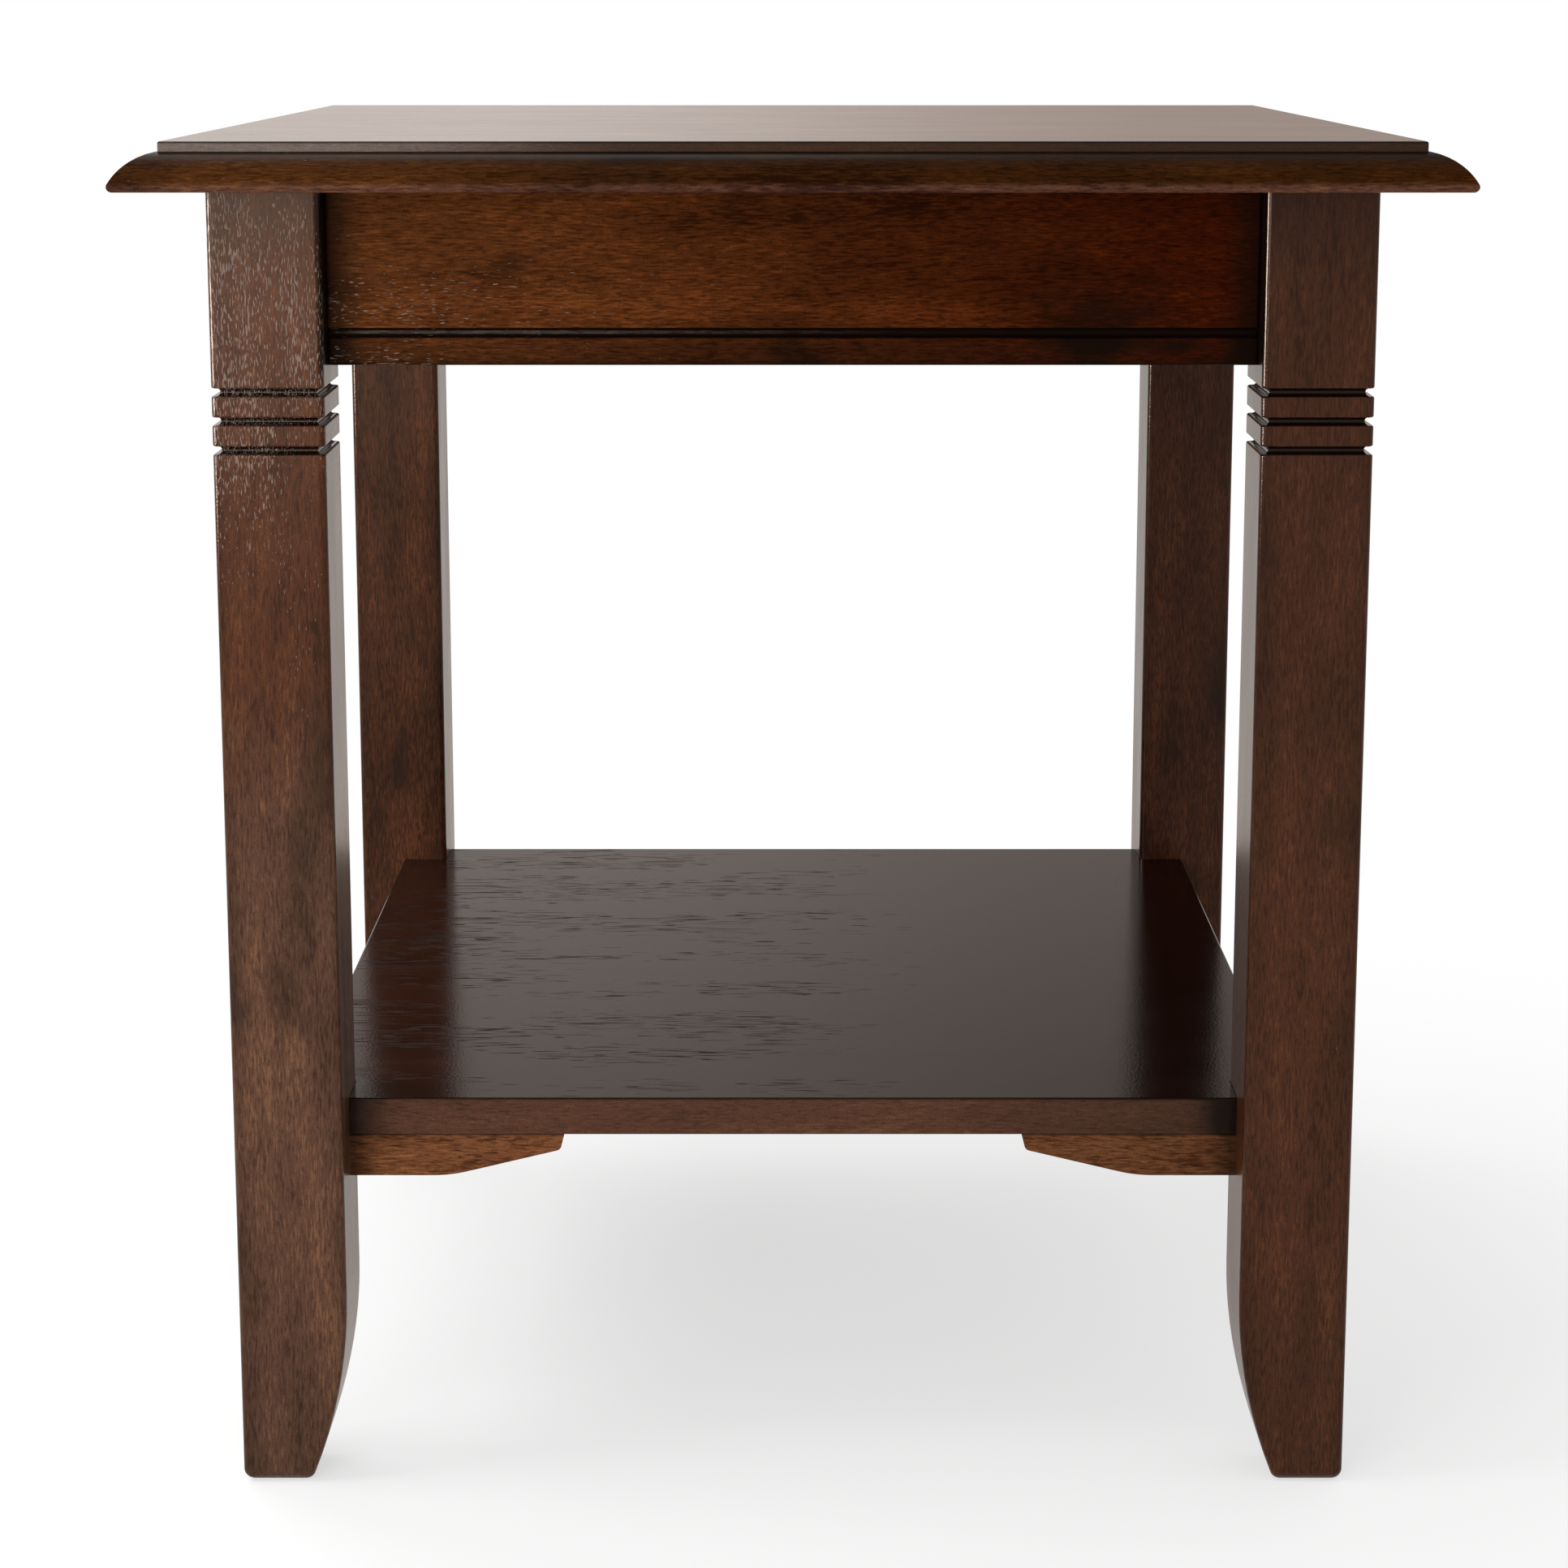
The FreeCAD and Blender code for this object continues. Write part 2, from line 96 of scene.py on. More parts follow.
def tone(name, description, default):
    return FloatVectorProperty(
        name=name, description=description, default=(*default, 1.0), size=4, min=0.0, max=1.0, subtype="COLOR"
    )


class StainedWood(PropertyGroup):
    """The finish on every part of the table that shows."""

    # The left legs' stains are lighter and greyer as painted light from the left, the right legs' darker as
    # painted shade
    leg_left: tone("Leg, left", "Stain of the left legs, below their middle", (0.0750, 0.0340, 0.0200))
    leg_left_head: tone("Leg, left, upper", "Stain of those legs, above it", (0.0560, 0.0170, 0.0062))
    leg_right: tone("Leg, right", "Stain of the right legs, below their middle", (0.0470, 0.0148, 0.0060))
    leg_right_head: tone("Leg, right, upper", "Stain of those legs, above it", (0.0370, 0.0110, 0.0050))
    rear: amount("Rear legs", "Share of that colour that the rear legs keep", 0.85)
    # Lit and shaded copies of the apron stain: the right one darker as painted shade
    apron_left: tone("Apron, left", "Stain of the aprons at the left", (0.0760, 0.0220, 0.0058))
    apron_right: tone("Apron, right", "Stain of the aprons at the right", (0.0300, 0.0036, 0.0004))
    # Painted highlight along the floor of the apron's groove
    groove: tone("Groove", "Worn stain along the floor of the apron's groove", (0.0500, 0.0420, 0.0360))
    # Lit and shaded copies of the moulding stain: the right one darker as painted shade
    moulding_left: tone("Moulding, left", "Stain of the mouldings at the left", (0.0500, 0.0165, 0.0040))
    moulding_right: tone("Moulding, right", "Stain of the mouldings at the right", (0.0280, 0.0085, 0.0016))
    # Painted highlight on the mouldings' nose
    moulding_nose_highlight: tone("Moulding nose", "Worn stain on the mouldings' nose", (0.0740, 0.0300, 0.0180))
    top: tone("Top", "Stain of the top board", (0.0600, 0.0210, 0.0080))
    top_edge: tone("Top edge", "Stain of the top board's edges", (0.0470, 0.0190, 0.0080))
    # Painted highlight on the top board's edges at the left
    top_edge_highlight: tone("Top edge highlight", "Stain of those edges at the left", (0.1200, 0.0850, 0.0680))
    # Lit and shaded copies of the shelf stain: the right one darker as painted shade
    shelf_left: tone("Shelf, left", "Stain of the shelf at the left", (0.0210, 0.0054, 0.0020))
    shelf_right: tone("Shelf, right", "Stain of the shelf at the right", (0.0065, 0.0010, 0.0003))
    shelf_edge: tone("Shelf edge", "Stain of the shelf's edges", (0.0850, 0.0360, 0.0200))
    bracket: tone("Bracket", "Stain of the brackets", (0.1450, 0.0540, 0.0220))
    # Colour of the sprayed toner, and of the painted shade in grooves, joints and under overhangs
    toner: tone("Toner", "Sprayed shading in grooves, at ends and along arrises", (0.0035, 0.0022, 0.0018))
    # Painted glint: a pale colour in the open pores that stands in for the lacquer glinting
    painted_pore_glint: tone("Painted pore glint", "Lacquer glinting in the open pores", (0.2300, 0.1750, 0.1450))
    dark_pore: tone("Dark pore", "Stain settled in the open pores", (0.0060, 0.0030, 0.0020))
    roughness: amount("Lacquer roughness", "How matt the satin lacquer is", 0.28)
    pore_depth: length("Pore depth", "How far the pores sink below the lacquer", 0.00016)


class LegShading(PropertyGroup):
    """Where the toner, the painted shade, the two stains with their painted light and shade, and the open
    pores with their painted glints sit on a leg.
    """

    groove_low: length("Grooves, bottom", "Lower end of the three grooves", 0.4350)
    groove_high: length("Grooves, top", "Upper end of the three grooves", 0.4630)
    head: length("Head", "How far the shading comes down from the top", 0.045)
    head_toner: amount("Head shading", "Strength of that shading", 0.40)
    toe: length("Toe", "How far the shading comes up from the floor", 0.110)
    toe_toner: amount("Toe shading", "Strength of that shading", 0.22)
    arris: length("Arris", "How wide the shading is along the corners", 0.0085)
    arris_toner: amount("Arris shading", "Strength of that shading", 0.30)
    # Painted shade, with toner, in the leg's corner beside an apron
    joint_shade: length("Joint", "Width of the dark line beside an apron", 0.0022)
    lower_stain: length("Lower stain", "Height up to which the lower stain is pure", 0.26)
    upper_stain: length("Upper stain", "Height from which the upper stain is pure", 0.36)
    # Where the open pores carry painted glints on the front left leg
    glinting_pores_low: length("Closed pores", "Height up to which the pores are closed", 0.25)
    glinting_pores_high: length("Open pores", "Height from which the pores are open", 0.46)
    fewest_glinting_pores: amount("Fewest pores", "Share of the pores that is open in closed grain", 0.10)
    side_glinting_pores: amount("Side pores", "Share of the open pores on the side faces", 0.55)
    polish: amount("Polish", "How much smoother the grooves and arrises are", 0.55)


class ApronShading(PropertyGroup):
    """Where the toner and painted shade, the painted highlight in the groove and the open pores with their
    painted glints sit on an apron.
    """

    groove_height: length("Groove", "Height of the groove's middle", 0.483)
    groove_width: length("Groove width", "Width of the groove at its mouth", 0.0050)
    end: length("End", "How far the shading runs in from the legs", 0.020)
    end_toner: amount("End shading", "Strength of that shading", 0.75)
    lip_toner: amount("Lip shading", "Strength of the shading below the groove", 0.40)
    rim: length("Rim", "Height of the shading along the lower arris", 0.003)
    rim_toner: amount("Rim shading", "Strength of that shading", 0.35)
    # The open pores at the front left carry painted glints
    pores: amount("Pores", "How open the pores are at the front left", 0.75)
    polish: amount("Polish", "How much smoother the groove is", 0.55)


class MouldingShading(PropertyGroup):
    """Where the painted shade in the quirk, the painted highlight on the nose and the open pores with their
    painted glints sit on a moulding.
    """

    # Painted shade in the quirk under the board's edge
    quirk: length("Quirk", "Height of the shading under the board's edge", 0.0060)
    quirk_shade: amount("Quirk shading", "Strength of that shading", 0.80)
    # The nose has a painted highlight and a real polish
    nose: length("Nose", "Height of the worn nose", 0.0045)
    nose_highlight_full: length("Full nose highlight", "Height up to which the nose is fully worn", 0.0020)
    # The open pores at the left carry painted glints
    pores: amount("Pores", "How open the pores are at the left", 0.50)
    polish: amount("Polish", "How much smoother the nose is", 0.40)


class BoardShading(PropertyGroup):
    """Where the toner, the painted shade and the painted highlight sit on the top board and the shelf."""

    rim: length("Rim", "Width of the shading along the edges", 0.010)
    rim_toner: amount("Rim shading", "Strength of that shading", 0.14)
    arris: length("Arris", "Width of the dark line on the upper arris", 0.0014)
    arris_toner: amount("Arris shading", "Strength of that line", 0.85)
    # Painted shade on the edges at the right
    right_edge_shade: amount("Edge shading", "Strength of the shading on the edges at the right", 0.30)
    # Painted shade along the shelf's edges beside the legs
    joint_shade: length("Joint", "How far the shading runs along the shelf's edges from the legs", 0.022)


class BracketShading(PropertyGroup):
    """Where the painted shade sits on a bracket."""

    # Painted shade where the bracket meets the leg
    joint_shade: length("Joint", "How far the shading runs in from the leg", 0.016)
    joint_shade_strength: amount("Joint shading", "Strength of that shading", 0.70)
    # Painted shadow line under the shelf
    line: length("Line", "Height of the dark line under the shelf", 0.0012)
    shadow_line_strength: amount("Line shading", "Strength of that line", 0.60)
    # The right brackets are darker as painted shade
    right: amount("Right brackets", "Share of the colour that the right brackets keep", 0.80)
    pores: amount("Pores", "How open the pores are", 0.70)


class BareWood(PropertyGroup):
    """The unfinished wood behind the aprons and in the joints."""

    block_pale: tone("Block, pale", "Early wood of the corner blocks", (0.560, 0.390, 0.220))
    block_dark: tone("Block, dark", "Late wood of the corner blocks", (0.380, 0.230, 0.105))
    dowel_pale: tone("Dowel, pale", "Pale wood of the dowels", (0.620, 0.450, 0.290))
    dowel_dark: tone("Dowel, dark", "Dark flecks of the dowels", (0.440, 0.280, 0.150))


class Hardware(PropertyGroup):
    """Screws, bolts, nuts, washers and dowels."""

    screw_shank: length("Screw shank", "Diameter of the wood screws", 0.0040)
    screw_head: length("Screw head", "Diameter of the screw heads", 0.0080)
    screw_head_height: length("Screw head height", "Thickness of the screw heads", 0.0024)
    screw_tip: length("Screw tip", "Length of the screw's point", 0.0040)
    screw_pitch: length("Screw pitch", "Rise of the wood thread in one turn", 0.0018)
    recess_length: length("Recess length", "Length of the driver recess", 0.0044)
    recess_width: length("Recess width", "Width of the driver recess", 0.0010)
    recess_depth: length("Recess depth", "Depth of the driver recess", 0.0014)
    bolt_shank: length("Bolt shank", "Diameter of the hanger bolts", 0.0080)
    bolt_tip: length("Bolt tip", "Length of the bolt's point", 0.0040)
    bolt_pitch: length("Bolt pitch", "Rise of the machine thread in one turn", 0.00125)
    nut_flats: length("Nut flats", "Width of the nut across its flats", 0.0130)
    washer_outside: length("Washer outside", "Diameter of the washer", 0.0180)
    apron_dowel: length("Apron dowel", "Diameter of the dowels in the aprons", 0.0080)
    bracket_dowel: length("Bracket dowel", "Diameter of the dowels in the brackets", 0.0060)
    dowel_flutes: IntProperty(name="Dowel flutes", description="Grooves round a dowel", default=18, min=6)
    zinc_pale: tone("Zinc, pale", "Plate on the bolts, nuts and washers", (0.640, 0.650, 0.660))
    zinc_dark: tone("Zinc, dark", "Clouds in that plate", (0.430, 0.440, 0.460))
    brass_pale: tone("Yellow zinc, pale", "Plate on the screws", (0.690, 0.560, 0.290))
    brass_dark: tone("Yellow zinc, dark", "Clouds in that plate", (0.500, 0.380, 0.180))


class Studio(PropertyGroup):
    """Camera, lamps, sky and floor."""

    camera_distance: length("Camera distance", "From the middle of the table", 1.531)
    camera_height: length("Camera height", "Above the floor", 0.610)
    camera_pitch: FloatProperty(
        name="Camera pitch", description="Tilt below level", default=math.radians(9.95), unit="ROTATION"
    )
    lens: FloatProperty(name="Lens", description="Focal length in millimetres", default=75.64, unit="CAMERA")
    sensor: FloatProperty(name="Sensor", description="Width in millimetres", default=36.0, unit="CAMERA")
    shift_x: FloatProperty(name="Shift across", description="Sideways framing", default=-0.0057)
    shift_y: FloatProperty(name="Shift up", description="Upright framing", default=-0.125)
    reflected: tone("Reflected white", "White of the room as the lacquer mirrors it", (1.0, 0.93, 0.87))
    reflected_right: tone(
        "Reflected white, right", "The same behind the table, at the right", (0.71, 0.615, 0.55)
    )
    sky: amount("Sky", "Soft light from all round", 0.78)
    front: power("Front lamp", "Soft lamp at the front left", 9.0)
    above: power("Upper lamp", "Soft lamp above, to the rear left", 24.0)
    side: power("Side lamp", "Soft lamp at the left", 12.0)
    glint: power("Glint lamp", "Lamp at the left that shows only in the gloss of the legs", 55.0)
    floor: tone("Floor", "Colour of the floor near the table", (0.90, 0.90, 0.895))
    floor_white: amount("Floor white", "Share of pure white in the floor near the table", 0.6)
    floor_near: length("Floor shadow", "Radius where the floor starts to fade to white", 0.32)
    floor_far: length("Floor fade", "Radius where the floor is white", 0.85)
    floor_reach: length("Floor reach", "Half of the floor's side", 6.0)


# Node wiring


class Wiring:
    """Adds nodes to a tree and joins their sockets."""

    def __init__(self, tree):
        self.tree = tree

    def node(self, kind, values=None, **settings):
        made = self.tree.nodes.new(kind)
        for name, value in settings.items():
            setattr(made, name, value)
        for socket, value in (values or {}).items():
            self.feed(made.inputs[socket], value)
        return made

    def feed(self, socket, value):
        if isinstance(value, bpy.types.NodeSocket):
            self.tree.links.new(value, socket)
        else:
            socket.default_value = value

    def math(self, operation, *values):
        return self.node("ShaderNodeMath", dict(enumerate(values)), operation=operation).outputs[0]

    def total(self, *values):
        return reduce(partial(self.math, "ADD"), values)

    def product(self, *values):
        return reduce(partial(self.math, "MULTIPLY"), values)

    def vector(self, operation, *values):
        return self.node("ShaderNodeVectorMath", dict(enumerate(values)), operation=operation).outputs[0]


def sockets(tree, way, names):
    for name, kind in names.items():
        tree.interface.new_socket(name, in_out=way, socket_type="NodeSocket" + kind)


class Painting(Wiring):
    """A shader tree."""

    def ramp(self, value, low, high):
        """A smooth step from 0 at low to 1 at high, either way up."""
        values = {"Value": value, "From Min": low, "From Max": high}
        return self.node("ShaderNodeMapRange", values, interpolation_type="SMOOTHSTEP").outputs[0]

    def between(self, factor, low, high):
        """A number between two plain numbers."""
        return self.math("MULTIPLY_ADD", factor, high - low, low)

    def blend(self, factor, first, second):
        """A colour between two colours."""
        return self.node("ShaderNodeMix", {0: factor, 6: first, 7: second}, data_type="RGBA").outputs[2]

    def noise(self, place, stretch, shift, detail):
        """Noise with so many features to the metre along each axis."""
        spot = self.vector("ADD", self.vector("MULTIPLY", place, stretch), shift)
        return self.node("ShaderNodeTexNoise", {"Vector": spot, "Scale": 1.0, "Detail": detail}).outputs

    def layer(self, place, name):
        return self.noise(place, *LAYERS[name])["Fac"]

    def place(self):
        """Object coordinates: whole, along each axis, and folded into one corner of the table."""
        whole = self.node("ShaderNodeTexCoord").outputs["Object"]
        x, y, z = self.node("ShaderNodeSeparateXYZ", {0: whole}).outputs
        across = [self.math("ABSOLUTE", side) for side in (x, y)]
        outer, inner = self.math("MAXIMUM", *across), self.math("MINIMUM", *across)
        return SimpleNamespace(whole=whole, x=x, y=y, z=z, across=across, outer=outer, inner=inner)

    def laid(self, place, turn):
        return self.node("ShaderNodeMapping", {"Vector": place.whole, "Rotation": turn}).outputs[0]

    def bump(self, height, depth, strength=1.0):
        values = {"Height": height, "Strength": strength, "Distance": depth}
        return self.node("ShaderNodeBump", values).outputs[0]

    def finish(self, colour, rough, normal, constants):
        """The shader: what varies comes by links, and the rest is set on its own sockets."""
        varied = {"Base Color": colour, "Roughness": rough, "Normal": normal}
        shader = self.node("ShaderNodeBsdfPrincipled", {**constants, **varied})
        self.node("ShaderNodeOutputMaterial", {"Surface": shader.outputs[0]})


def blank(name):
    """A material with an empty tree."""
    material = bpy.data.materials.new(name)
    material.use_nodes = True
    material.node_tree.nodes.clear()
    return material, Painting(material.node_tree)


# Noise of the finishes: features to the metre along each axis, a shift that sets it apart, and its detail
LAYERS = {
    "sway": ((3.0, 14.0, 14.0), (4.1, 1.7, 9.2), 2.0),
    "broad": ((7.0, 80.0, 80.0), (0.3, 5.5, 2.8), 3.0),
    "fibre": ((150.0, 1100.0, 1100.0), (7.4, 0.6, 3.9), 2.0),
    "patch": ((15.0, 40.0, 40.0), (2.2, 8.8, 6.1), 4.0),
    "smudge": ((11.0, 26.0, 26.0), (8.1, 0.9, 3.4), 3.0),
    "cluster": ((8.0, 34.0, 34.0), (5.9, 3.3, 0.4), 2.0),
    "peel": ((900.0, 900.0, 900.0), (9.9, 2.4, 7.7), 1.0),
    "grit": ((1300.0, 1300.0, 1300.0), (3.7, 5.1, 0.8), 0.0),
    "fleck": ((240.0, 1500.0, 1500.0), (6.3, 2.9, 8.5), 0.0),
    "plate cloud": ((260.0, 260.0, 260.0), (1.0, 2.0, 3.0), 3.0),
    "plate lines": ((500.0, 500.0, 4200.0), (6.0, 4.0, 2.0), 1.0),
}

# Open pores: how many to the metre along and across the grain, the property with their colour,
# and how much of the pore depth they take
PORES = {
    # The pale colour of these pores is a painted glint
    "glint": ((360.0, 2200.0, 2200.0), "painted_pore_glint", 1.0),
    "dash": ((70.0, 950.0, 950.0), "dark_pore", 0.14),
    "streak": ((140.0, 1600.0, 1600.0), "dark_pore", 0.6),
}
PORE_SHIFT = (1.1, 6.6, 4.7)


# Stained wood

# Tint of the gloss, which the toned lacquer warms
LEG_GLOSS = (1.0, 0.70, 0.55)
WARM_GLOSS = (1.0, 0.55, 0.25)
BOARD_GLOSS = (1.0, 0.90, 0.84)

# How far the grain sways, and the middle of a noise
SWAY = (0.0, 0.012, 0.012)
NOISE_MIDDLE = 0.5

# Figure: what each noise gives to it, how far it goes from the stain, and the stain's darkest and brightest
FIGURE_SHARES = {"broad": 0.28, "fibre": 0.42, "patch": 0.30}
FIGURE_REACH = 0.14
DARK_WOOD = (0.36, 0.31, 0.34)
BRIGHT_WOOD = (1.85, 1.90, 1.70)
GRIT_TONES = (0.75, 1.25)

# Flecks and smudges: from what noise they start and where they are full, and how strong they are
FLECKS = (0.58, 0.68)
FLECK_SHARE = 0.50
FLECK_WOOD = (0.28, 0.24, 0.26)
SMUDGES = (0.55, 0.72)
SMUDGE_SHARE = 0.55

# Painted shade and toner: how much of it stays in thin and thick patches, the most of it, how much painted
# shade and toner lie in grooves and joints, and how much is left under the painted highlight on the floor of
# a groove
TONER_PATCHES = (0.62, 1.28)
TONER_MOST = 0.95
DEEP_TONER_AND_SHADE = 1.4
TONER_UNDER_HIGHLIGHT = 0.2

# Pores: where they crowd, from what noise they open if scarce or crowded, their soft rim, their strength
CROWDS = (0.32, 0.58)
PORE_BRINK = (0.95, 0.58)
PORE_RIM = 0.06
PORE_SHARE = 0.62

# Lacquer: what clouds and pores add to its roughness, and the heights of fibres and orange peel
CLOUD_ROUGHNESS = 0.12
PORE_ROUGHNESS = 0.40
FIBRE_HEIGHT = 0.16
PEEL_HEIGHT = 0.20


def stained_figure(wood):
    """A node group with the figure, pores, toner and painted shade of the stained wood; pale pores are
    painted glints. The grain runs along X.
    """
    tree = bpy.data.node_groups.new("stained figure", "ShaderNodeTree")
    sockets(tree, "INPUT", {"Grain": "Vector", "Stain": "Color", "Contrast": "Float", "Toner": "Float"})
    sockets(tree, "INPUT", {"Pores": "Float", "Pore stretch": "Vector", "Pore colour": "Color"})
    sockets(tree, "INPUT", {"Sink": "Float", "Roughness": "Float"})
    sockets(tree, "OUTPUT", {"Colour": "Color", "Roughness": "Float", "Normal": "Vector"})
    net = Painting(tree)
    given = net.node("NodeGroupInput").outputs
    stain, contrast = given["Stain"], given["Contrast"]

    sway = net.vector("SUBTRACT", net.noise(given["Grain"], *LAYERS["sway"])["Color"], (NOISE_MIDDLE,) * 3)
    grain = net.vector("ADD", given["Grain"], net.vector("MULTIPLY", sway, SWAY))
    fibre, patch = net.layer(grain, "fibre"), net.layer(grain, "patch")
    noises = {"broad": net.layer(grain, "broad"), "fibre": fibre, "patch": patch}

    crowd = net.product(net.ramp(net.layer(grain, "cluster"), *CROWDS), given["Pores"])
    dash = net.noise(grain, given["Pore stretch"], PORE_SHIFT, 0.0)["Fac"]
    pores = net.ramp(net.math("SUBTRACT", dash, net.between(crowd, *PORE_BRINK)), 0.0, PORE_RIM)

    figure = net.total(*(net.product(noises[name], share) for name, share in FIGURE_SHARES.items()))
    figure = net.product(net.math("SUBTRACT", figure, NOISE_MIDDLE), contrast)
    colour = net.blend(net.ramp(figure, -FIGURE_REACH, 0.0), net.vector("MULTIPLY", stain, DARK_WOOD), stain)
    bright = net.vector("MULTIPLY", stain, BRIGHT_WOOD)
    colour = net.blend(net.ramp(figure, 0.0, FIGURE_REACH), colour, bright)
    colour = net.vector("MULTIPLY", colour, net.between(net.layer(grain, "grit"), *GRIT_TONES))
    flecks = net.product(net.ramp(net.layer(grain, "fleck"), *FLECKS), contrast, FLECK_SHARE)
    colour = net.blend(net.math("MINIMUM", flecks, 1.0), colour, net.vector("MULTIPLY", stain, FLECK_WOOD))
    smudges = net.product(net.ramp(net.layer(grain, "smudge"), *SMUDGES), contrast, contrast, SMUDGE_SHARE)
    toner = net.product(net.total(given["Toner"], smudges), net.between(patch, *TONER_PATCHES))
    colour = net.blend(net.math("MINIMUM", toner, TONER_MOST), colour, tuple(wood.toner))
    # The pore colour: a painted glint where it is pale, settled stain where it is dark
    colour = net.blend(net.product(pores, PORE_SHARE), colour, given["Pore colour"])

    cloud = net.product(net.math("SUBTRACT", patch, NOISE_MIDDLE), CLOUD_ROUGHNESS, contrast)
    rough = net.total(given["Roughness"], cloud, net.product(pores, PORE_ROUGHNESS))
    raised = net.total(net.product(fibre, FIBRE_HEIGHT), net.product(net.layer(grain, "peel"), PEEL_HEIGHT))
    height = net.math("SUBTRACT", raised, net.product(pores, given["Sink"]))
    normal = net.bump(height, wood.pore_depth)
    net.node("NodeGroupOutput", {"Colour": colour, "Roughness": rough, "Normal": normal})
    return tree


def stained(name, turn, finish, index, tint, pores="glint", contrast=1.0, satin=1.0):
    """Stained and lacquered wood, its grain laid by turn. finish gives what changes from place to place."""
    wood = bpy.context.scene.table_wood
    material, net = blank(name)
    place = net.place()
    local = finish(net, place, wood)
    stretch, colour, sink = PORES[pores]
    tree = bpy.data.node_groups.get("stained figure") or stained_figure(wood)
    given = {
        "Grain": net.laid(place, turn),
        "Stain": local.stain,
        "Contrast": contrast,
        "Toner": local.toner,
        "Pores": local.pores,
        "Pore stretch": stretch,
        "Pore colour": tuple(getattr(wood, colour)),
        "Sink": sink,
        "Roughness": net.product(wood.roughness * satin, net.math("SUBTRACT", 1.0, local.polish)),
    }
    figure = net.node("ShaderNodeGroup", node_tree=tree)
    for socket, value in given.items():
        net.feed(figure.inputs[socket], value)
    net.finish(*figure.outputs, {"IOR": index, "Specular Tint": (*tint, 1.0)})
    return material


# Where a tone starts and where it is full, in metres from the table's middle
TO_THE_LEFT = (0.1, -0.1)
TO_THE_RIGHT = (-0.1, 0.1)
TO_THE_FRONT = (0.1, -0.1)
# Below, tones that darken towards the right are painted shade; the groove highlight and glinting pores at the
# left are painted light
FRONT_TONES = (0.0, -0.19)
APRON_TONES = (-0.20, 0.20)
APRON_HIGHLIGHT_REACH = (0.16, -0.12)
APRON_GLINTING_PORES = (0.06, -0.17)
MOULDING_TONES = (-0.22, 0.10)
MOULDING_GLINTING_PORES = (0.0, -0.22)
BOARD_TONES = (-0.15, 0.18)
BOARD_MATT = (-0.15, 0.25)
BOARD_PORES = (0.13, -0.02)
EDGE_SHADE_REACH = (0.02, 0.18)
EDGE_HIGHLIGHT_REACH = (-0.05, -0.18)

# The tone of the sides and the back, between the left end of the front and its right end; the front's change
# is painted shade
MIDDLE_TONE = 0.40

# Where shading starts and is full below a face or beside an edge, or over what width it fades, in metres
LEG_GROOVE_DEPTH = (0.0003, 0.0013)
LEG_GROOVE_FADE = 0.001
LEG_JOINT_CORE = 0.0004
LEG_JOINT_FADE = 0.004
LEG_FACE = (0.0055, 0.0035)
LEG_SHINE = (0.0030, 0.0018)
APRON_GROOVE_DEPTH = (0.0003, 0.0012)
APRON_GROOVE_FADE = 0.0004
APRON_HIGHLIGHT_WIDTH = (0.0012, 0.0004)
APRON_LIP_FADE = 0.002
APRON_FACE = (0.001, 0.009)
APRON_GLINTING_PORE_RISE = 0.02
BOARD_EDGE = (0.0007, 0.0002)


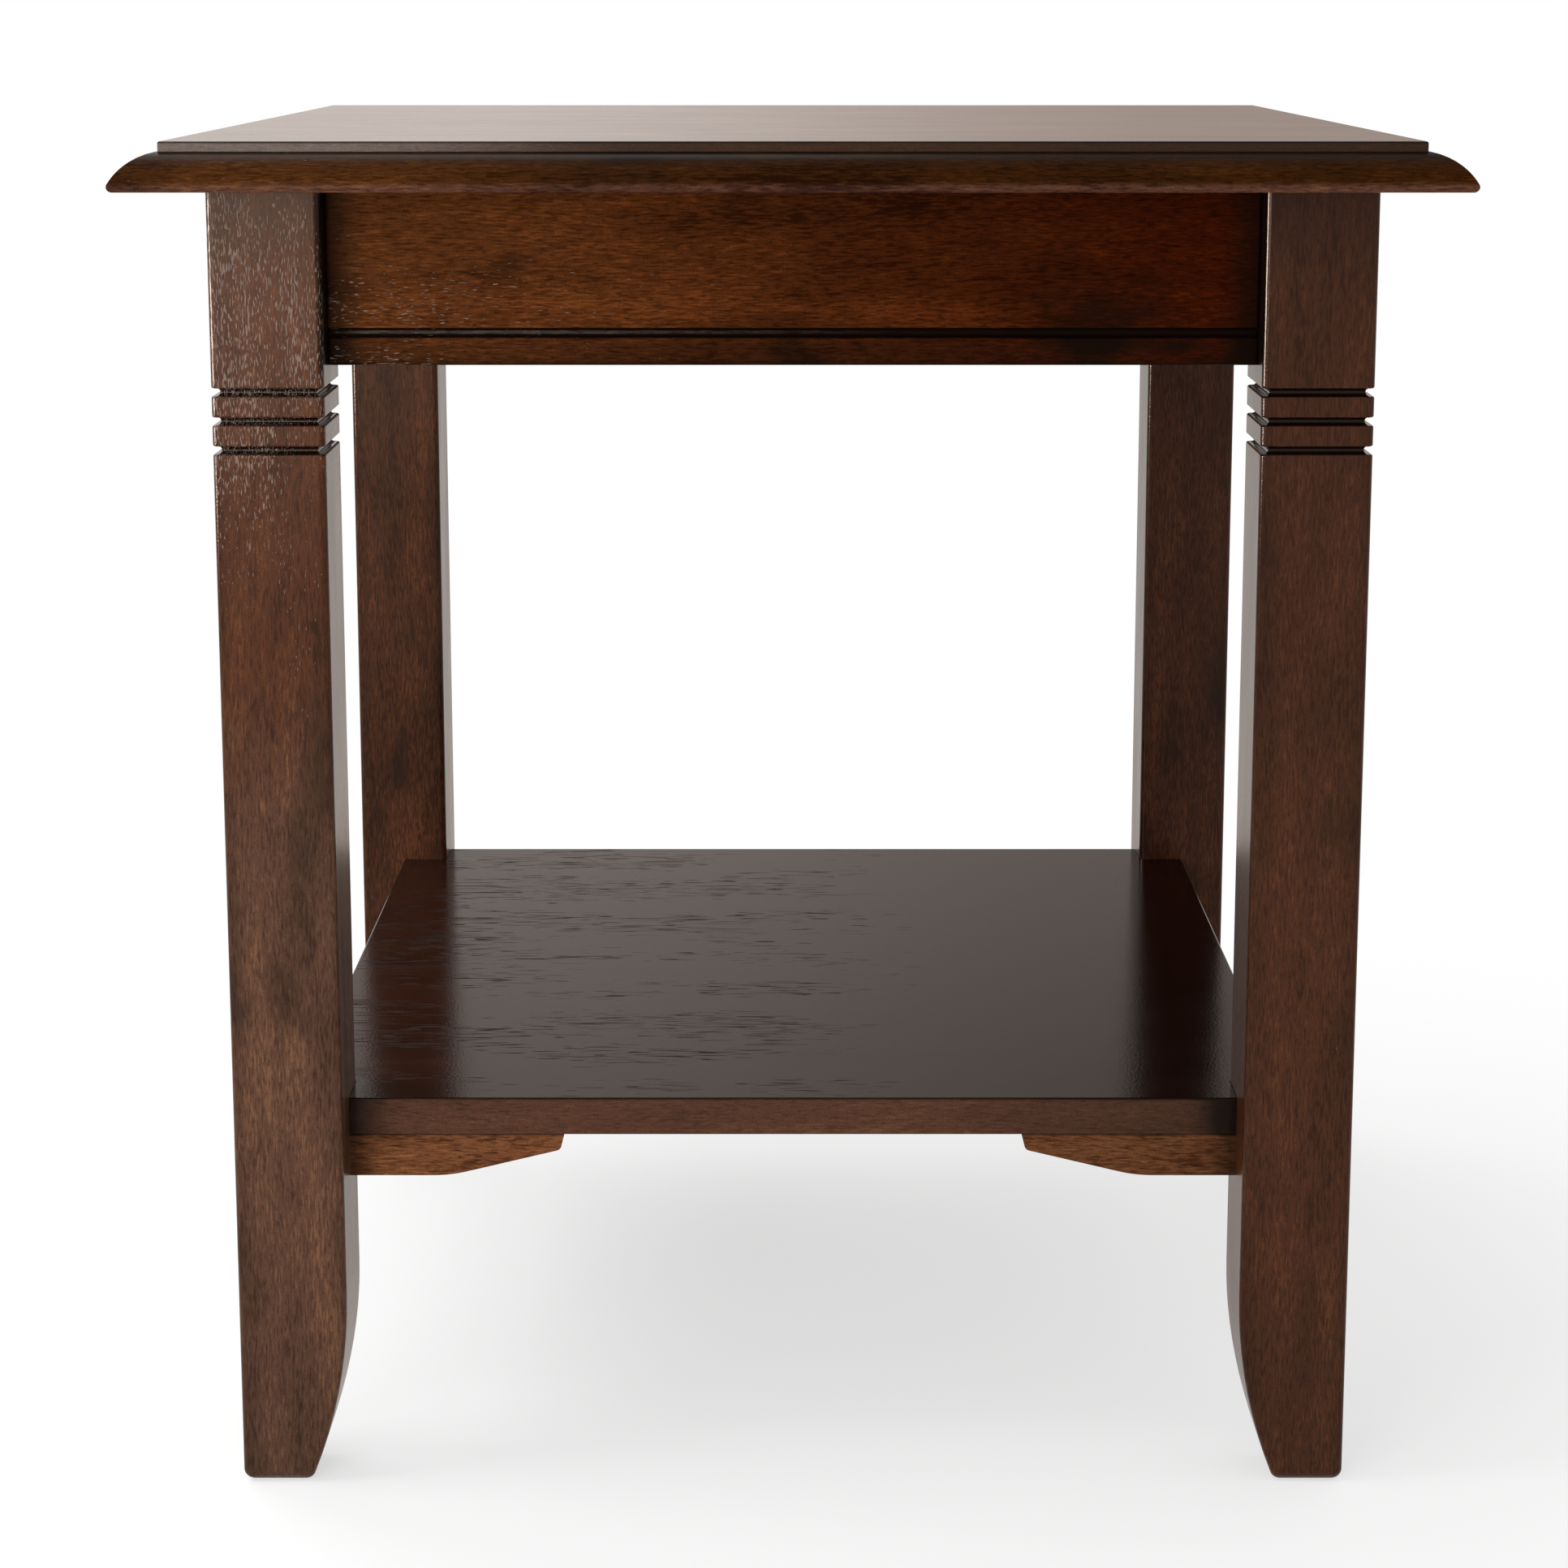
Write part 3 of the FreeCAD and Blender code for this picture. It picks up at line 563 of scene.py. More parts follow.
def leg_finish(net, place, wood):
    """Dark with toner and painted shade in the grooves and beside the aprons, polished in the grooves and
    along the arrises, and clouded at the head and the toe.

    The front left leg has open pores with painted glints in its upper half.
    """
    shading = bpy.context.scene.table_legs
    low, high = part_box("leg_rear_right")
    middle, half = (low.x + high.x) / 2, (high.x - low.x) / 2
    off = [net.math("ABSOLUTE", net.math("SUBTRACT", side, middle)) for side in place.across]
    depth, along = net.math("SUBTRACT", half, net.math("MAXIMUM", *off)), net.math("MINIMUM", *off)

    # Painted shade, with toner, in the three grooves
    above = net.ramp(place.z, shading.groove_low - LEG_GROOVE_FADE, shading.groove_low)
    below = net.ramp(place.z, shading.groove_high + LEG_GROOVE_FADE, shading.groove_high)
    groove = net.product(net.ramp(depth, *LEG_GROOVE_DEPTH), above, below)
    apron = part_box("apron_rear")[0].z
    # Painted shade, with toner, in the leg's corner beside the apron
    beside = net.ramp(place.inner, low.x + shading.joint_shade, low.x + LEG_JOINT_CORE)
    joint_shade = net.product(beside, net.ramp(place.z, apron - LEG_JOINT_FADE, apron))
    toner = net.total(
        net.product(net.ramp(along, half - shading.arris, half), shading.arris_toner),
        net.product(net.ramp(place.z, high.z - shading.head, high.z), shading.head_toner),
        net.product(net.ramp(place.z, shading.toe, 0.0), shading.toe_toner),
        net.product(net.math("MAXIMUM", groove, joint_shade), DEEP_TONER_AND_SHADE),
    )

    # Lit and shaded copies: the left legs lighter as painted light, the right legs darker as painted shade
    left, front = net.ramp(place.x, *TO_THE_LEFT), net.ramp(place.y, *TO_THE_FRONT)
    upper = net.ramp(place.z, shading.lower_stain, shading.upper_stain)
    upper = net.math("MAXIMUM", upper, net.math("SUBTRACT", 1.0, front))
    left_stain = net.blend(upper, tuple(wood.leg_left), tuple(wood.leg_left_head))
    right_stain = net.blend(upper, tuple(wood.leg_right), tuple(wood.leg_right_head))
    stain = net.blend(left, right_stain, left_stain)
    stain = net.vector("MULTIPLY", stain, net.between(front, wood.rear, 1.0))

    # Painted glints in the open pores: on the front left leg's upper half, most of all on its front face
    facing = net.ramp(place.y, *(inset - high.y for inset in LEG_FACE))
    facing = net.between(facing, shading.side_glinting_pores, 1.0)
    opened = net.product(left, facing, net.ramp(place.z, shading.glinting_pores_low, shading.glinting_pores_high))
    pores = net.product(front, net.between(opened, shading.fewest_glinting_pores, 1.0))
    edge = net.ramp(along, *(half - inset for inset in LEG_SHINE))
    polish = net.product(net.math("MAXIMUM", groove, edge), shading.polish)
    return SimpleNamespace(stain=stain, toner=toner, pores=pores, polish=polish)


def left_to_right(net, place, reach):
    """0 at the left of the front and 1 at its right, and a middle tone on the sides and at the back: the mask
    of painted shade.
    """
    off_middle = net.math("SUBTRACT", net.ramp(place.x, *reach), MIDDLE_TONE)
    return net.total(MIDDLE_TONE, net.product(net.ramp(place.y, *FRONT_TONES), off_middle))


def apron_finish(net, place, wood):
    """Dark with toner and painted shade in the groove and polished there, dark at the two ends and on the
    lip, and darker towards the right as painted shade.

    The floor of the groove has a painted highlight towards the left, where the open pores have painted
    glints.
    """
    shading = bpy.context.scene.table_aprons
    low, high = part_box("apron_rear")
    off = net.math("ABSOLUTE", net.math("SUBTRACT", place.z, shading.groove_height))
    mouth = shading.groove_width / 2
    band = net.ramp(off, mouth + APRON_GROOVE_FADE, mouth)
    groove = net.product(net.ramp(place.outer, *(high.y - depth for depth in APRON_GROOVE_DEPTH)), band)
    # Painted highlight along the floor of the groove, towards the left, with less painted shade under it
    groove_highlight = net.product(net.ramp(off, *APRON_HIGHLIGHT_WIDTH), net.ramp(place.x, *APRON_HIGHLIGHT_REACH))
    lip = net.ramp(place.z, shading.groove_height, shading.groove_height - APRON_LIP_FADE)
    # Painted shade with toner in the groove, thinner under its painted highlight; toner at the ends, on the
    # lip and along the rim
    toner = net.total(
        net.product(groove, net.between(groove_highlight, DEEP_TONER_AND_SHADE, TONER_UNDER_HIGHLIGHT)),
        net.product(net.ramp(place.inner, high.x - shading.end, high.x), shading.end_toner),
        net.product(lip, shading.lip_toner),
        net.product(net.ramp(place.z, low.z + shading.rim, low.z), shading.rim_toner),
    )
    # Painted shade: the front darkens towards the right
    tones = left_to_right(net, place, APRON_TONES)
    stain = net.blend(tones, tuple(wood.apron_left), tuple(wood.apron_right))
    stain = net.blend(net.product(groove, groove_highlight), stain, tuple(wood.groove))
    # Open pores with painted glints, on the front apron's left and lower part
    pores = net.product(
        net.ramp(place.y, *(low.x - inset for inset in APRON_FACE)),
        net.ramp(place.x, *APRON_GLINTING_PORES),
        net.ramp(place.z, high.z + APRON_GLINTING_PORE_RISE, low.z + APRON_GLINTING_PORE_RISE),
        shading.pores,
    )
    return SimpleNamespace(stain=stain, toner=toner, pores=pores, polish=net.product(groove, shading.polish))


def moulding_finish(net, place, wood):
    """Painted shade in the quirk under the board's edge, a painted highlight and polish on the nose, and
    darker towards the right as painted shade.
    """
    shading = bpy.context.scene.table_mouldings
    low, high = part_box("top_moulding_rear")
    # Painted shade in the quirk under the board's edge
    toner = net.product(net.ramp(place.z, high.z - shading.quirk, high.z), shading.quirk_shade)
    # Painted shade: the front darkens towards the right
    tones = left_to_right(net, place, MOULDING_TONES)
    stain = net.blend(tones, tuple(wood.moulding_left), tuple(wood.moulding_right))
    # Painted highlight on the nose
    nose = net.ramp(place.z, low.z + shading.nose, low.z + shading.nose_highlight_full)
    stain = net.blend(nose, stain, tuple(wood.moulding_nose_highlight))
    # Open pores with painted glints at the left
    pores = net.product(net.ramp(place.x, *MOULDING_GLINTING_PORES), shading.pores)
    return SimpleNamespace(stain=stain, toner=toner, pores=pores, polish=net.product(nose, shading.polish))


def board_finish(node, left, right, edge, worn, pores, matt, joint_shade):
    """A board whose colour changes from left to right as painted shade, with another stain on its edges and a
    painted highlight on their left part.

    It has a dark line on the upper arris, painted shade beside the legs and on the edges at the right, and
    grows matt towards the right.
    """
    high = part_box(node)[1]
    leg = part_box("leg_rear_right")[0].x
    shading = bpy.context.scene.table_boards

    def finish(net, place, wood):
        rim = net.ramp(place.outer, high.x - shading.rim, high.x)
        upper = net.ramp(place.z, high.z - shading.arris, high.z)
        arris = net.product(net.ramp(place.outer, high.x - shading.arris, high.x), upper)
        side = net.ramp(place.outer, *(high.x - inset for inset in BOARD_EDGE))
        toner = net.total(
            net.product(rim, shading.rim_toner),
            # Painted shade on the edges at the right
            net.product(side, net.ramp(place.x, *EDGE_SHADE_REACH), shading.right_edge_shade),
            net.product(arris, shading.arris_toner),
            # Painted shade along the edges beside the legs
            net.product(side, net.ramp(place.inner, leg - shading.joint_shade, leg), joint_shade),
        )
        stains = {name: tuple(getattr(wood, name)) for name in (left, right, edge, worn)}
        # Painted highlight on the edges at the left
        highlit_edges = net.blend(net.ramp(place.x, *EDGE_HIGHLIGHT_REACH), stains[edge], stains[worn])
        # Painted shade: the face darkens towards the right
        face = net.blend(net.ramp(place.x, *BOARD_TONES), stains[left], stains[right])
        opened = net.product(net.ramp(place.x, *BOARD_PORES), net.math("SUBTRACT", 1.0, side), pores)
        polish = net.product(net.ramp(place.x, *BOARD_MATT), -matt)
        return SimpleNamespace(stain=net.blend(side, face, highlit_edges), toner=toner, pores=opened, polish=polish)

    return finish


def bracket_finish(net, place, wood):
    """Painted shade where the bracket meets the leg and the shelf, and darker at the right as painted shade.
    """
    shading = bpy.context.scene.table_brackets
    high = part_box("shelf_bracket_front_right")[1]
    # Painted shade where the bracket meets the leg
    joint_shade = net.product(net.ramp(place.inner, high.x - shading.joint_shade, high.x), shading.joint_shade_strength)
    # Painted shadow line under the shelf
    line = net.product(net.ramp(place.z, high.z - shading.line, high.z), shading.shadow_line_strength)
    # Painted shade: the brackets darken towards the right
    right_shade = net.between(net.ramp(place.x, *TO_THE_RIGHT), 1.0, shading.right)
    stain = net.vector("MULTIPLY", tuple(wood.bracket)[:3], right_shade)
    return SimpleNamespace(stain=stain, toner=net.total(joint_shade, line), pores=shading.pores, polish=0.0)


# Bare wood and metal

# Bands and fibres of bare wood: features to the metre along and across the grain, a shift and detail
BARE_BANDS = (9.0, 90.0, (2.0, 3.1, 0.7), 3.0)
BARE_FIBRES = (60.0, 1400.0, (0.4, 7.3, 5.2), 2.0)
BAND_SHARE = 0.7
BARE_ROUGHNESS = (0.62, 0.82)
BARE_DEPTH = 0.00012
BARE_BUMP = 0.6
BARE_INDEX = 1.4
PLATE_ROUGHNESS = (0.26, 0.44)
PLATE_DEPTH = 0.00005
PLATE_BUMP = 0.25

# Noise between which a pale and a dark colour change over
TWO_TONES = (0.30, 0.70)


def bare_wood(name, turn, pale, dark, scale):
    """Planed wood without a finish: soft bands, fibres and a dry surface. A larger scale is finer."""
    material, net = blank(name)
    laid = net.laid(net.place(), turn)
    along, across, shift, detail = BARE_BANDS
    bands = net.noise(laid, (along * scale, across * scale, across * scale), shift, detail)["Fac"]
    along, across, shift, detail = BARE_FIBRES
    fibres = net.noise(laid, (along * scale, across, across), shift, detail)["Fac"]
    figure = net.total(net.product(bands, BAND_SHARE), net.product(fibres, 1.0 - BAND_SHARE))
    colour = net.blend(net.ramp(figure, *TWO_TONES), tuple(dark), tuple(pale))
    rough = net.between(fibres, *BARE_ROUGHNESS)
    net.finish(colour, rough, net.bump(fibres, BARE_DEPTH, BARE_BUMP), {"IOR": BARE_INDEX})
    return material


def plated_steel(name, pale, dark):
    """Plated steel with faint drawing lines and clouded plate."""
    material, net = blank(name)
    place = net.place()
    cloud, lines = net.layer(place.whole, "plate cloud"), net.layer(place.whole, "plate lines")
    colour = net.blend(net.ramp(cloud, *TWO_TONES), tuple(dark), tuple(pale))
    rough = net.between(cloud, *PLATE_ROUGHNESS)
    net.finish(colour, rough, net.bump(lines, PLATE_DEPTH, PLATE_BUMP), {"Metallic": 1.0})
    return material


def dress(material, *nodes):
    """Gives CAD nodes their finish."""
    for node in nodes:
        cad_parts[node].material_slots[0].material = material


# Hardware

# Sides of round outlines, and steps in one turn of a thread
SHANK_SIDES = 32
RIM_SIDES = 48
NUT_SIDES = 6
RIDGE_SIDES = 3
THREAD_STEPS = 16

# Shares of a screw's and a bolt's shank or head that their smaller shapes take
SCREW_CORE = 0.36
SCREW_CREST = 0.14
SCREW_RIM = 0.30
SCREW_NECK = 1.05
BOLT_CORE = 0.44
BOLT_CREST = 0.06
BOLT_START = 0.10
END_FACE = 0.84
POINT = 0.05

# Shares of a washer, nut and dowel, and of the bolt's shank for their bores
WASHER_EASE = 0.22
WASHER_BORE = 1.05
NUT_FACE = 0.49
NUT_EASE = 0.20
NUT_BARREL = 1.03
NUT_BORE = 0.97
BORE_REACH = 1.5
DOWEL_FLUTE = 0.93
DOWEL_EASE = 0.10


class Shaping(Wiring):
    """A geometry node tree that sets one piece at many places."""

    def __init__(self, name, *sizes):
        super().__init__(bpy.data.node_groups.new(name, "GeometryNodeTree"))
        sizes = {size: "Float" for size in sizes}
        sockets(self.tree, "INPUT", {"Places": "Geometry", **sizes, "Finish": "Material"})
        sockets(self.tree, "OUTPUT", {"Pieces": "Geometry"})
        self.given = self.node("NodeGroupInput").outputs

    def circle(self, sides):
        return self.node("GeometryNodeCurvePrimitiveCircle", {"Resolution": sides, "Radius": 1.0}).outputs[0]

    def by_station(self, values):
        """A number that changes from point to point of a curve."""
        made = self.node("GeometryNodeIndexSwitch", data_type="FLOAT")
        while len(made.index_switch_items) < len(values):
            made.index_switch_items.new()
        self.feed(made.inputs[0], self.node("GeometryNodeInputIndex").outputs[0])
        for number, value in enumerate(values):
            self.feed(made.inputs[number + 1], value)
        return made.outputs[0]

    def turned(self, outline, stations):
        """A closed solid along Z with the given outline, from (height, radius) stations."""
        heights, radii = zip(*stations)
        line = self.node("GeometryNodeCurvePrimitiveLine").outputs[0]
        line = self.node("GeometryNodeResampleCurve", {"Curve": line, "Count": len(stations)}).outputs[0]
        spot = self.node("ShaderNodeCombineXYZ", {"Z": self.by_station(heights)}).outputs[0]
        line = self.node("GeometryNodeSetPosition", {"Geometry": line, "Position": spot}).outputs[0]
        return self.swept(line, outline, self.by_station(radii))

    def eased(self, outline, small, wide, ease):
        """A closed solid over the whole length, wide but for its two eased ends."""
        top = self.given["Length"]
        high = self.math("SUBTRACT", top, ease)
        return self.turned(outline, [(0.0, small), (ease, wide), (high, wide), (top, small)])

    def swept(self, path, outline, scale):
        values = {"Curve": path, "Profile Curve": outline, "Scale": scale, "Fill Caps": True}
        return self.node("GeometryNodeCurveToMesh", values).outputs[0]

    def thread(self, bottom, top, radius, pitch, ridge):
        """A ridge that winds up a shank."""
        rise = self.math("SUBTRACT", top, bottom)
        values = {
            "Resolution": THREAD_STEPS,
            "Rotations": self.math("DIVIDE", rise, pitch),
            "Start Radius": radius,
            "End Radius": radius,
            "Height": rise,
        }
        path = self.node("GeometryNodeCurveSpiral", values).outputs[0]
        wound = self.swept(path, self.circle(RIDGE_SIDES), ridge)
        lift = self.node("ShaderNodeCombineXYZ", {"Z": bottom}).outputs[0]
        return self.node("GeometryNodeTransform", {"Geometry": wound, "Translation": lift}).outputs[0]

    def bore(self):
        """A round through the whole length of a piece and past both ends."""
        over = self.product(self.given["Length"], BORE_REACH)
        under = self.math("SUBTRACT", self.given["Length"], over)
        radius = self.product(self.given["Bore"], 0.5)
        return self.turned(self.circle(SHANK_SIDES), [(under, radius), (over, radius)])

    def block(self, x, y, z):
        size = self.node("ShaderNodeCombineXYZ", {"X": x, "Y": y, "Z": z}).outputs[0]
        return self.node("GeometryNodeMeshCube", {"Size": size}).outputs[0]

    def carve(self, operation, mesh, *tools):
        made = self.node("GeometryNodeMeshBoolean", operation=operation, solver="EXACT")
        if operation == "DIFFERENCE":
            self.feed(made.inputs["Mesh 1"], mesh)
        else:
            tools = (mesh, *tools)
        for tool in tools:
            self.feed(made.inputs["Mesh 2"], tool)
        return made.outputs[0]

    def joined(self, *meshes):
        made = self.node("GeometryNodeJoinGeometry")
        for mesh in reversed(meshes):
            self.feed(made.inputs[0], mesh)
        return made.outputs[0]

    def repeat(self, mesh):
        """Sets the piece at every place, along its axis, with its finish."""
        stored = self.node("GeometryNodeInputNamedAttribute", {"Name": "axis"}, data_type="FLOAT_VECTOR")
        values = {"Vector": stored.outputs[0]}
        turn = self.node("FunctionNodeAlignRotationToVector", values, axis="Z").outputs[0]
        values = {"Points": self.given["Places"], "Instance": mesh, "Rotation": turn}
        copies = self.node("GeometryNodeInstanceOnPoints", values).outputs[0]
        real = self.node("GeometryNodeRealizeInstances", {"Geometry": copies}).outputs[0]
        values = {"Geometry": real, "Material": self.given["Finish"]}
        self.node("NodeGroupOutput", {"Pieces": self.node("GeometryNodeSetMaterial", values).outputs[0]})
        return self.tree


def screw_tree():
    """A cross-recessed wood screw, its head at z = 0 and its point upwards."""
    net = Shaping(
        "wood screw", "Length", "Shank", "Head", "Head height", "Tip", "Pitch",
        "Recess length", "Recess width", "Recess depth",
    )
    size = net.given
    head, core = net.product(size["Head"], 0.5), net.product(size["Shank"], SCREW_CORE)
    rim, neck = net.product(size["Head height"], SCREW_RIM), net.product(size["Head height"], SCREW_NECK)
    tip = net.math("SUBTRACT", size["Length"], size["Tip"])
    stations = [
        (0.0, net.product(head, END_FACE)),
        (rim, head),
        (size["Head height"], head),
        (neck, core),
        (tip, core),
        (size["Length"], net.product(core, POINT)),
    ]
    solid = net.turned(net.circle(SHANK_SIDES), stations)
    deep = net.product(size["Recess depth"], 2.0)
    cross = [
        net.block(size["Recess length"], size["Recess width"], deep),
        net.block(size["Recess width"], size["Recess length"], deep),
    ]
    thread = net.thread(neck, tip, core, size["Pitch"], net.product(size["Shank"], SCREW_CREST))
    return net.repeat(net.joined(net.carve("DIFFERENCE", solid, *cross), thread))


def bolt_tree():
    """A hanger bolt from its plain end at z = 0 to its point."""
    net = Shaping("hanger bolt", "Length", "Shank", "Tip", "Pitch")
    size = net.given
    core, start = net.product(size["Shank"], BOLT_CORE), net.product(size["Shank"], BOLT_START)
    tip = net.math("SUBTRACT", size["Length"], size["Tip"])
    stations = [
        (0.0, net.product(core, END_FACE)),
        (start, core),
        (tip, core),
        (size["Length"], net.product(core, POINT)),
    ]
    thread = net.thread(start, tip, core, size["Pitch"], net.product(size["Shank"], BOLT_CREST))
    return net.repeat(net.joined(net.turned(net.circle(SHANK_SIDES), stations), thread))


def washer_tree():
    """A flat washer with eased rims."""
    net = Shaping("washer", "Length", "Outside", "Bore")
    size = net.given
    outer, ease = net.product(size["Outside"], 0.5), net.product(size["Length"], WASHER_EASE)
    disc = net.eased(net.circle(RIM_SIDES), net.math("SUBTRACT", outer, ease), outer, ease)
    return net.repeat(net.carve("DIFFERENCE", disc, net.bore()))


def nut_tree():
    """A hexagon nut, chamfered on both sides."""
    net = Shaping("hexagon nut", "Length", "Flats", "Bore")
    size = net.given
    corner = net.product(size["Flats"], 1 / math.sqrt(3))
    hexagon = net.turned(net.circle(NUT_SIDES), [(0.0, corner), (size["Length"], corner)])
    face, ease = net.product(size["Flats"], NUT_FACE), net.product(size["Length"], NUT_EASE)
    barrel = net.eased(net.circle(RIM_SIDES), face, net.product(corner, NUT_BARREL), ease)
    return net.repeat(net.carve("DIFFERENCE", net.carve("INTERSECT", hexagon, barrel), net.bore()))


def dowel_tree():
    """A fluted dowel with tapered ends."""
    net = Shaping("fluted dowel", "Length", "Diameter", "Flutes")
    size = net.given
    values = {"Points": size["Flutes"], "Inner Radius": DOWEL_FLUTE, "Outer Radius": 1.0}
    outline = net.node("GeometryNodeCurveStar", values).outputs[0]
    radius, ease = net.product(size["Diameter"], 0.5), net.product(size["Diameter"], DOWEL_EASE)
    return net.repeat(net.eased(outline, net.math("SUBTRACT", radius, ease), radius, ease))


# Ways in which a fastener can lie
AXES = np.array([(1, 0, 0), (0, 1, 0), (0, 0, 1), (1, 1, 0), (1, -1, 0)], float)
AXES /= np.linalg.norm(AXES, axis=1)[:, None]

# Corners closer than this are one, in a CAD node and in a finished piece
CAD_WELD = 1e-6
PIECE_WELD = 1e-7

# The part of a solid's length that is its end, and the least difference between a thick end and a thin one
END_SHARE = 0.02
END_DIFFERENCE = 1e-5

# Decimals by which solids are put in order, and the angle from which an edge is hard
ORDER_DECIMALS = 4
HARD_ANGLE = math.radians(35)


def solids_of(node):
    """The separate solids of a CAD node, each as an array of its corners."""
    copy = bmesh.new()
    copy.from_mesh(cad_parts[node].data)
    bmesh.ops.remove_doubles(copy, verts=copy.verts, dist=CAD_WELD)
    waiting, found = set(copy.verts), []
    while waiting:
        front, solid = [waiting.pop()], []
        while front:
            corner = front.pop()
            solid.append(tuple(corner.co))
            others = {edge.other_vert(corner) for edge in corner.link_edges} & waiting
            waiting -= others
            front.extend(others)
        found.append(np.array(solid))
    copy.free()
    return sorted(found, key=lambda solid: tuple(np.round(solid.min(0), ORDER_DECIMALS)))


def places_of(node, flat):
    """Where each solid of a node starts, which way it points from its thick end, and how long it is."""
    places = []
    for corners in solids_of(node):
        spans = np.ptp(corners @ AXES.T, axis=0)
        axis = AXES[np.argmin(spans) if flat else np.argmax(spans)]
        middle = (corners.max(0) + corners.min(0)) / 2
        along = (corners - middle) @ axis
        reach = np.linalg.norm(corners - middle - np.outer(along, axis), axis=1)
        low, high = along.min(), along.max()
        slack = (high - low) * END_SHARE
        if reach[along > high - slack].max() > reach[along < low + slack].max() + END_DIFFERENCE:
            axis, low, high = -axis, -high, -low
        places.append((middle + low * axis, axis, high - low))
    return places


def spread(tree, node, material, sizes, flat=False):
    """Runs a tree at the places of a CAD node's solids, and lets the result stand for the node."""
    places = places_of(node, flat)
    name = node + "_set"
    points = bpy.data.meshes.new(name)
    points.from_pydata([tuple(start) for start, axis, reach in places], [], [])
    axes = np.array([axis for start, axis, reach in places], np.float32)
    points.attributes.new("axis", "FLOAT_VECTOR", "POINT").data.foreach_set("vector", axes.ravel())
    piece = bpy.data.objects.new(name, points)
    bpy.context.scene.collection.objects.link(piece)
    modifier = piece.modifiers.new("pieces", "NODES")
    modifier.node_group = tree
    values = {**sizes, "Length": float(places[0][2]), "Finish": material}
    for socket in tree.interface.items_tree:
        if socket.in_out == "INPUT" and socket.name in values:
            modifier[socket.identifier] = values[socket.name]
    graph = bpy.context.evaluated_depsgraph_get()
    made = bpy.data.meshes.new_from_object(piece.evaluated_get(graph))
    piece.modifiers.remove(modifier)
    if not made.polygons:
        raise RuntimeError(f"{name} came out empty")
    true_up(made)
    piece.data = made
    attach(piece, BODY)
    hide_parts(node)


def true_up(mesh):
    """Merges doubles, points the faces outwards, and shades round faces smooth between hard edges."""
    shape = bmesh.new()
    shape.from_mesh(mesh)
    bmesh.ops.remove_doubles(shape, verts=shape.verts, dist=PIECE_WELD)
    bmesh.ops.recalc_face_normals(shape, faces=shape.faces)
    for face in shape.faces:
        face.smooth = True
    for edge in shape.edges:
        edge.smooth = len(edge.link_faces) == 2 and edge.calc_face_angle(0.0) < HARD_ANGLE
    shape.to_mesh(mesh)
    shape.free()


# Studio

# Lamps: the property with the power, where the lamp stands, and its width and height
LAMPS = {
    "front lamp": ("front", (-0.72, -1.5, 0.58), (0.95, 0.50)),
    "upper lamp": ("above", (-0.9, 1.2, 2.1), (1.8, 1.8)),
    "side lamp": ("side", (-1.3, -0.3, 1.45), (0.7, 0.7)),
    "glint lamp": ("glint", (-1.5, -0.69, 0.50), (0.60, 0.56)),
}
LAMP_AIM = (0.0, 0.0, 0.3)
WHITE = (1.0, 1.0, 1.0, 1.0)

# Where in a ray's direction the backdrop's right half starts and is full, where the backdrop stands behind
# the table, and where its white comes down from the sky
BACKDROP_RIGHT = (-0.10, 0.12)
BACKDROP_REAR = (0.0, 0.3)
BACKDROP_TOP = (0.75, 0.35)
CAMERA_NEAR = 0.01


def seen_directly(net):
    """1 for rays from the camera, from gloss and through glass, and 0 for the rest."""
    path = net.node("ShaderNodeLightPath").outputs
    seen = net.total(path["Is Camera Ray"], path["Is Glossy Ray"], path["Is Transmission Ray"])
    return net.math("MINIMUM", seen, 1.0)


def seen_white(net, reflected):
    """White to the camera, and another colour in the gloss of the lacquer."""
    return net.blend(net.node("ShaderNodeLightPath").outputs["Is Glossy Ray"], WHITE, reflected)


def lay_floor(studio):
    """A pale floor that fades to white, and is open to a view from below."""
    material, net = blank("floor")
    spot = net.place().whole
    radius = net.node("ShaderNodeVectorMath", {0: spot}, operation="LENGTH").outputs["Value"]
    fade = net.between(net.ramp(radius, studio.floor_near, studio.floor_far), studio.floor_white, 1.0)
    paint = net.node("ShaderNodeBsdfDiffuse", {"Color": tuple(studio.floor)}).outputs[0]
    colour = seen_white(net, tuple(studio.reflected))
    white = net.node("ShaderNodeEmission", {"Color": colour, "Strength": 1.0}).outputs[0]
    faded = net.product(fade, seen_directly(net))
    mixed = net.node("ShaderNodeMixShader", {0: faded, 1: paint, 2: white}).outputs[0]
    under = net.node("ShaderNodeNewGeometry").outputs["Backfacing"]
    clear = net.node("ShaderNodeBsdfTransparent").outputs[0]
    mixed = net.node("ShaderNodeMixShader", {0: under, 1: mixed, 2: clear}).outputs[0]
    net.node("ShaderNodeOutputMaterial", {"Surface": mixed})
    shape = bmesh.new()
    bmesh.ops.create_grid(shape, x_segments=1, y_segments=1, size=studio.floor_reach)
    mesh = bpy.data.meshes.new("floor")
    shape.to_mesh(mesh)
    shape.free()
    mesh.materials.append(material)
    floor = bpy.data.objects.new("floor", mesh)
    bpy.context.scene.collection.objects.link(floor)


